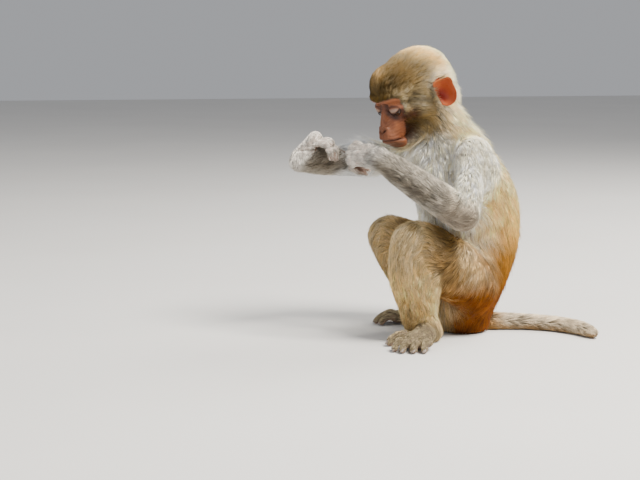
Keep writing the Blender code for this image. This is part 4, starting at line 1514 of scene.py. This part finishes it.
def feed(shader, name, wire):
    Wire.tree.links.new(wire.socket, shader.inputs[name])


def bumped(shader, height, strength, distance):
    inputs = {"Strength": strength, "Distance": distance, "Height": height}
    feed(shader, "Normal", Wire.node("ShaderNodeBump", {}, inputs))


skinFinish = {"redder": (0.80, 0.62, 0.55, 1), "blotches": 0.35, "fold": 0.0006, "least": 0.42, "dull": 0.22}


def skinMaterial():
    made, shader = material("bare_skin", {"Roughness": 0.5, "Specular IOR Level": 0.35})
    place, tone = here(), tinted("tone")
    blotch = noise(place, 160, 3).above(0.35, 0.7)
    pores, folds = noise(place, 1500, 2), noise(place, 420, 4, 0.6)
    redder = mixed(tone, skinFinish["redder"], 1.0, "MULTIPLY")
    feed(shader, "Base Color", mixed(tone, redder, blotch * skinFinish["blotches"]))
    bumped(shader, folds * 0.7 + pores * 0.3, 0.55, skinFinish["fold"])
    feed(shader, "Roughness", skinFinish["least"] + noise(place, 300, 2) * skinFinish["dull"])
    return made


coatFinish = {"paler": (1.22, 1.2, 1.15, 1), "strands": 0.6, "least": 0.55, "dull": 0.12}


def coatMaterial():
    made, shader = material("coat", {"Specular IOR Level": 0.1})
    tone, strand = tinted("tone"), noise(here(), 900, 2).above(0.3, 0.7)
    paler = mixed(tone, coatFinish["paler"], 1.0, "MULTIPLY")
    feed(shader, "Base Color", mixed(tone, paler, strand * coatFinish["strands"]))
    feed(shader, "Roughness", coatFinish["least"] + strand * coatFinish["dull"])
    return made


def eyeMaterial(centre, gaze):
    shine = {"Roughness": 0.06, "Specular IOR Level": 0.5, "Coat Weight": 0.6, "Coat Roughness": 0.03}
    made, shader = material("eye", shine)

    def vector(operation, first, second, output=0):
        return Wire.node("ShaderNodeVectorMath", {"operation": operation}, {0: first, 1: second}, output)

    away = vector("SUBTRACT", here(), tuple(np.array(centre) * mm))
    ahead = vector("DOT_PRODUCT", away, tuple(gaze), 1)
    across = vector("LENGTH", away, (0, 0, 0), 1)
    aside = (across * across - ahead * ahead).math("POWER", 0.5)
    iris, pupil = eyePlan["iris"], eyePlan["pupil"]
    colour = mixed(*eyePlan["irisTones"], noise(away, 900, 3))
    colour = mixed(colour, eyePlan["ringTone"], aside.above((iris - 1.2) * mm, iris * mm))
    colour = mixed(colour, eyePlan["whiteTone"], aside.above((iris - 0.1) * mm, (iris + 0.5) * mm))
    colour = mixed(eyePlan["pupilTone"], colour, aside.above(pupil * mm, (pupil + 0.35) * mm))
    feed(shader, "Base Color", colour)
    return made


def nailMaterial():
    made, shader = material("nail", {"Roughness": 0.38, "Specular IOR Level": 0.4})
    streak = noise(here(), 700, 3)
    feed(shader, "Base Color", mixed(*nailPlan["tones"], streak))
    bumped(shader, streak, 0.3, 0.0002)
    return made


def makeEye(word, side):
    centre = onHead(eyeCentre(side))
    down = math.radians(eyePlan["gazeDown"])
    gaze = unit(axesOfHead @ np.array((math.cos(down), side * 0.15, -math.sin(down))))
    turn = Vector(gaze).to_track_quat("Z", "Y").to_euler()
    pickOnly()
    size = {"segments": 48, "ring_count": 32, "radius": eyePlan["radius"] * mm}
    bpy.ops.mesh.primitive_uv_sphere_add(**size, location=Vector(centre * mm), rotation=turn)
    eye = bpy.context.object
    eye.name = eye.data.name = f"eyeball_{word}"
    bpy.ops.object.transform_apply(location=True, rotation=True, scale=True)
    points = pointsOf(eye.data)
    out = eyePlan["bulge"] / eyePlan["radius"] * smooth(unit(points - centre) @ gaze, 0.74, 0.96)
    setPoints(eye.data, points + (points - centre) * out[:, None])
    eye.data.shade_smooth()
    eye.data.materials.append(eyeMaterial(centre, gaze))
    return eye


lashPlan = {"count": 46, "long": 3.5, "wide": 0.22, "tone": (0.02, 0.012, 0.008)}


def makeLashes(word, side, dice):
    count = lashPlan["count"]
    aside = np.linspace(-0.86, 0.96, count) * lidPlan["half"] + dice.normal(0, 1.0, count)
    above = lidEdges(aside)[0] + 1.5

    def onBall(aside, above, radius):
        turn, lift = np.radians(aside + lidPlan["outward"]), np.radians(above)
        ahead, rise = np.cos(lift) * np.cos(turn), np.sin(lift)
        dip = math.radians(lidPlan["dip"])
        forward = ahead * math.cos(dip) + rise * math.sin(dip)
        up = rise * math.cos(dip) - ahead * math.sin(dip)
        away = np.stack((forward, np.cos(lift) * np.sin(turn) * side, up), axis=1)
        return onHead(away * radius + eyeCentre(side))

    radius, long = eyePlan["radius"] + lidPlan["thick"], lashPlan["long"] * (0.75 + 0.4 * dice.random(count))
    spread = aside + 0.12 * aside + dice.normal(0, 2.0, count)
    start, bend = onBall(aside, above, radius - 0.4), onBall(spread, above - 10, radius + 1.2)
    tips = bend + unit(onBall(spread, above - 24, radius + 2.6) - start) * (long * 0.6)[:, None]
    facing = unit(start - onHead(eyeCentre(side)))
    found = bodyMap(start, facing)
    lashes = {"start": start, "bend": bend, "tips": tips, "facing": facing, "chart": chartPlaces(found)}
    lashes |= {"width": np.full(count, lashPlan["wide"]), "shade": np.tile(lashPlan["tone"], (count, 1))}
    lashes["part"] = np.array(partNames)[found["main"]]
    return tuftMesh(f"lashes_{word}", lashes, ("head", "muzzle"))


nailPlan = {
    "long": 0.95,
    "wide": 0.72,
    "thick": 0.2,
    "lift": 0.74,
    "curl": 0.10,
    "tones": ((0.13, 0.095, 0.075, 1), (0.30, 0.24, 0.20, 1)),
}


def makeNails(word):
    made = []
    for place, way, top, radius in nailSpots[word]:
        pickOnly()
        bpy.ops.mesh.primitive_uv_sphere_add(segments=16, ring_count=10, radius=1)
        nail = bpy.context.object
        shape = pointsOf(nail.data) * mm
        shape[:, 0] *= 1 + 0.25 * (shape[:, 0] > 0)
        shape *= radius * np.array((nailPlan["long"], nailPlan["wide"], nailPlan["thick"]))
        shape[:, 2] -= nailPlan["curl"] * (shape[:, 1] ** 2 + 0.35 * shape[:, 0] ** 2)
        centre = place + way * radius * 0.15 + top * radius * nailPlan["lift"]
        setPoints(nail.data, shape @ np.stack((way, np.cross(top, way), top)) + centre)
        made.insert(0, nail)
    pickOnly(*made)
    bpy.ops.object.join()
    joined = bpy.context.object
    joined.name = joined.data.name = f"nails_{word}"
    joined.data.shade_smooth()
    return joined


cameraPlan = {
    "around": 75.0,
    "above": 10.0,
    "away": 2.1,
    "aimAround": 79.504,
    "aimAbove": 7.131,
    "lens": 100,
    "sensor": 36,
}


def axesAt(around, above):
    a, e = math.radians(around), math.radians(above)
    right = Vector((math.cos(a), math.sin(a), 0))
    back = Vector((math.sin(a) * math.cos(e), -math.cos(a) * math.cos(e), math.sin(e)))
    return right, back.cross(right), back


def hung(name, data, place, axes):
    made = linked(name, data)
    made.matrix_world = Matrix.Translation(place) @ Matrix(axes).transposed().to_4x4()
    return made


def makeCamera():
    lens = bpy.data.cameras.new("camera")
    lens.lens, lens.sensor_width = cameraPlan["lens"], cameraPlan["sensor"]
    place = axesAt(cameraPlan["around"], cameraPlan["above"])[2] * cameraPlan["away"]
    axes = axesAt(cameraPlan["aimAround"], cameraPlan["aimAbove"])
    bpy.context.scene.camera = hung("camera", lens, place, axes)


lightPlan = (  # name, around, above, distance, size, power, colour
    ("key", 130, 55, 2.2, 0.9, 150, (1.0, 0.95, 0.87)),
    ("fill", 35, 25, 2.6, 2.0, 28, (0.94, 0.97, 1.0)),
    ("rim", 215, 40, 2.2, 1.2, 50, (1.0, 0.96, 0.9)),
)
skyPlan = {"Color": (0.93, 0.95, 1.0, 1), "Strength": 0.42}


def makeLights():
    target = Vector((0, -0.03, 0.15))
    for name, around, above, distance, size, power, colour in lightPlan:
        lamp = bpy.data.lights.new(name, "AREA")
        lamp.size, lamp.energy, lamp.color = size, power, colour
        axes = axesAt(around, above)
        hung(name, lamp, target + axes[2] * distance, axes)
    world = bpy.data.worlds.new("studio")
    bpy.context.scene.world = world
    world.use_nodes = True
    for key, value in skyPlan.items():
        world.node_tree.nodes["Background"].inputs[key].default_value = value


floorPlan = {"size": 12, "tones": ((0.62, 0.61, 0.59, 1), (0.68, 0.67, 0.65, 1))}


def makeFloor():
    pickOnly()
    bpy.ops.mesh.primitive_plane_add(size=floorPlan["size"], location=(0, 0, 0))
    floor = bpy.context.object
    floor.name = floor.data.name = "floor"
    made, shader = material("floor", {"Roughness": 0.8})
    feed(shader, "Base Color", mixed(*floorPlan["tones"], noise(here(), 3, 3)))
    floor.data.materials.append(made)


makeCamera()
makeLights()
makeFloor()
skin = makeSkin()
skin.data.materials.append(skinMaterial())
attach(skin, "root")
fleshNodes = [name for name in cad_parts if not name.startswith("eye_")]
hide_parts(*fleshNodes)
for word, side in (("left", 1), ("right", -1)):
    eye = makeEye(word, side)
    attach(eye, "root")
    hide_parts(f"eye_{word}")
nails = nailMaterial()
for word in nailSpots:
    made = makeNails(word)
    made.data.materials.append(nails)
    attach(made, "root")
fur = coatMaterial()
for word, side in (("left", 1), ("right", -1)):
    made = makeLashes(word, side, np.random.default_rng(5 + side))
    made.data.materials.append(fur)
    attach(made, "root")
print("eyes, lashes and nails set")
for piece in growCoat(skin):
    piece.data.materials.append(fur)
    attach(piece, "root")
    print(piece.name, len(piece.data.vertices) // 7, "tufts")
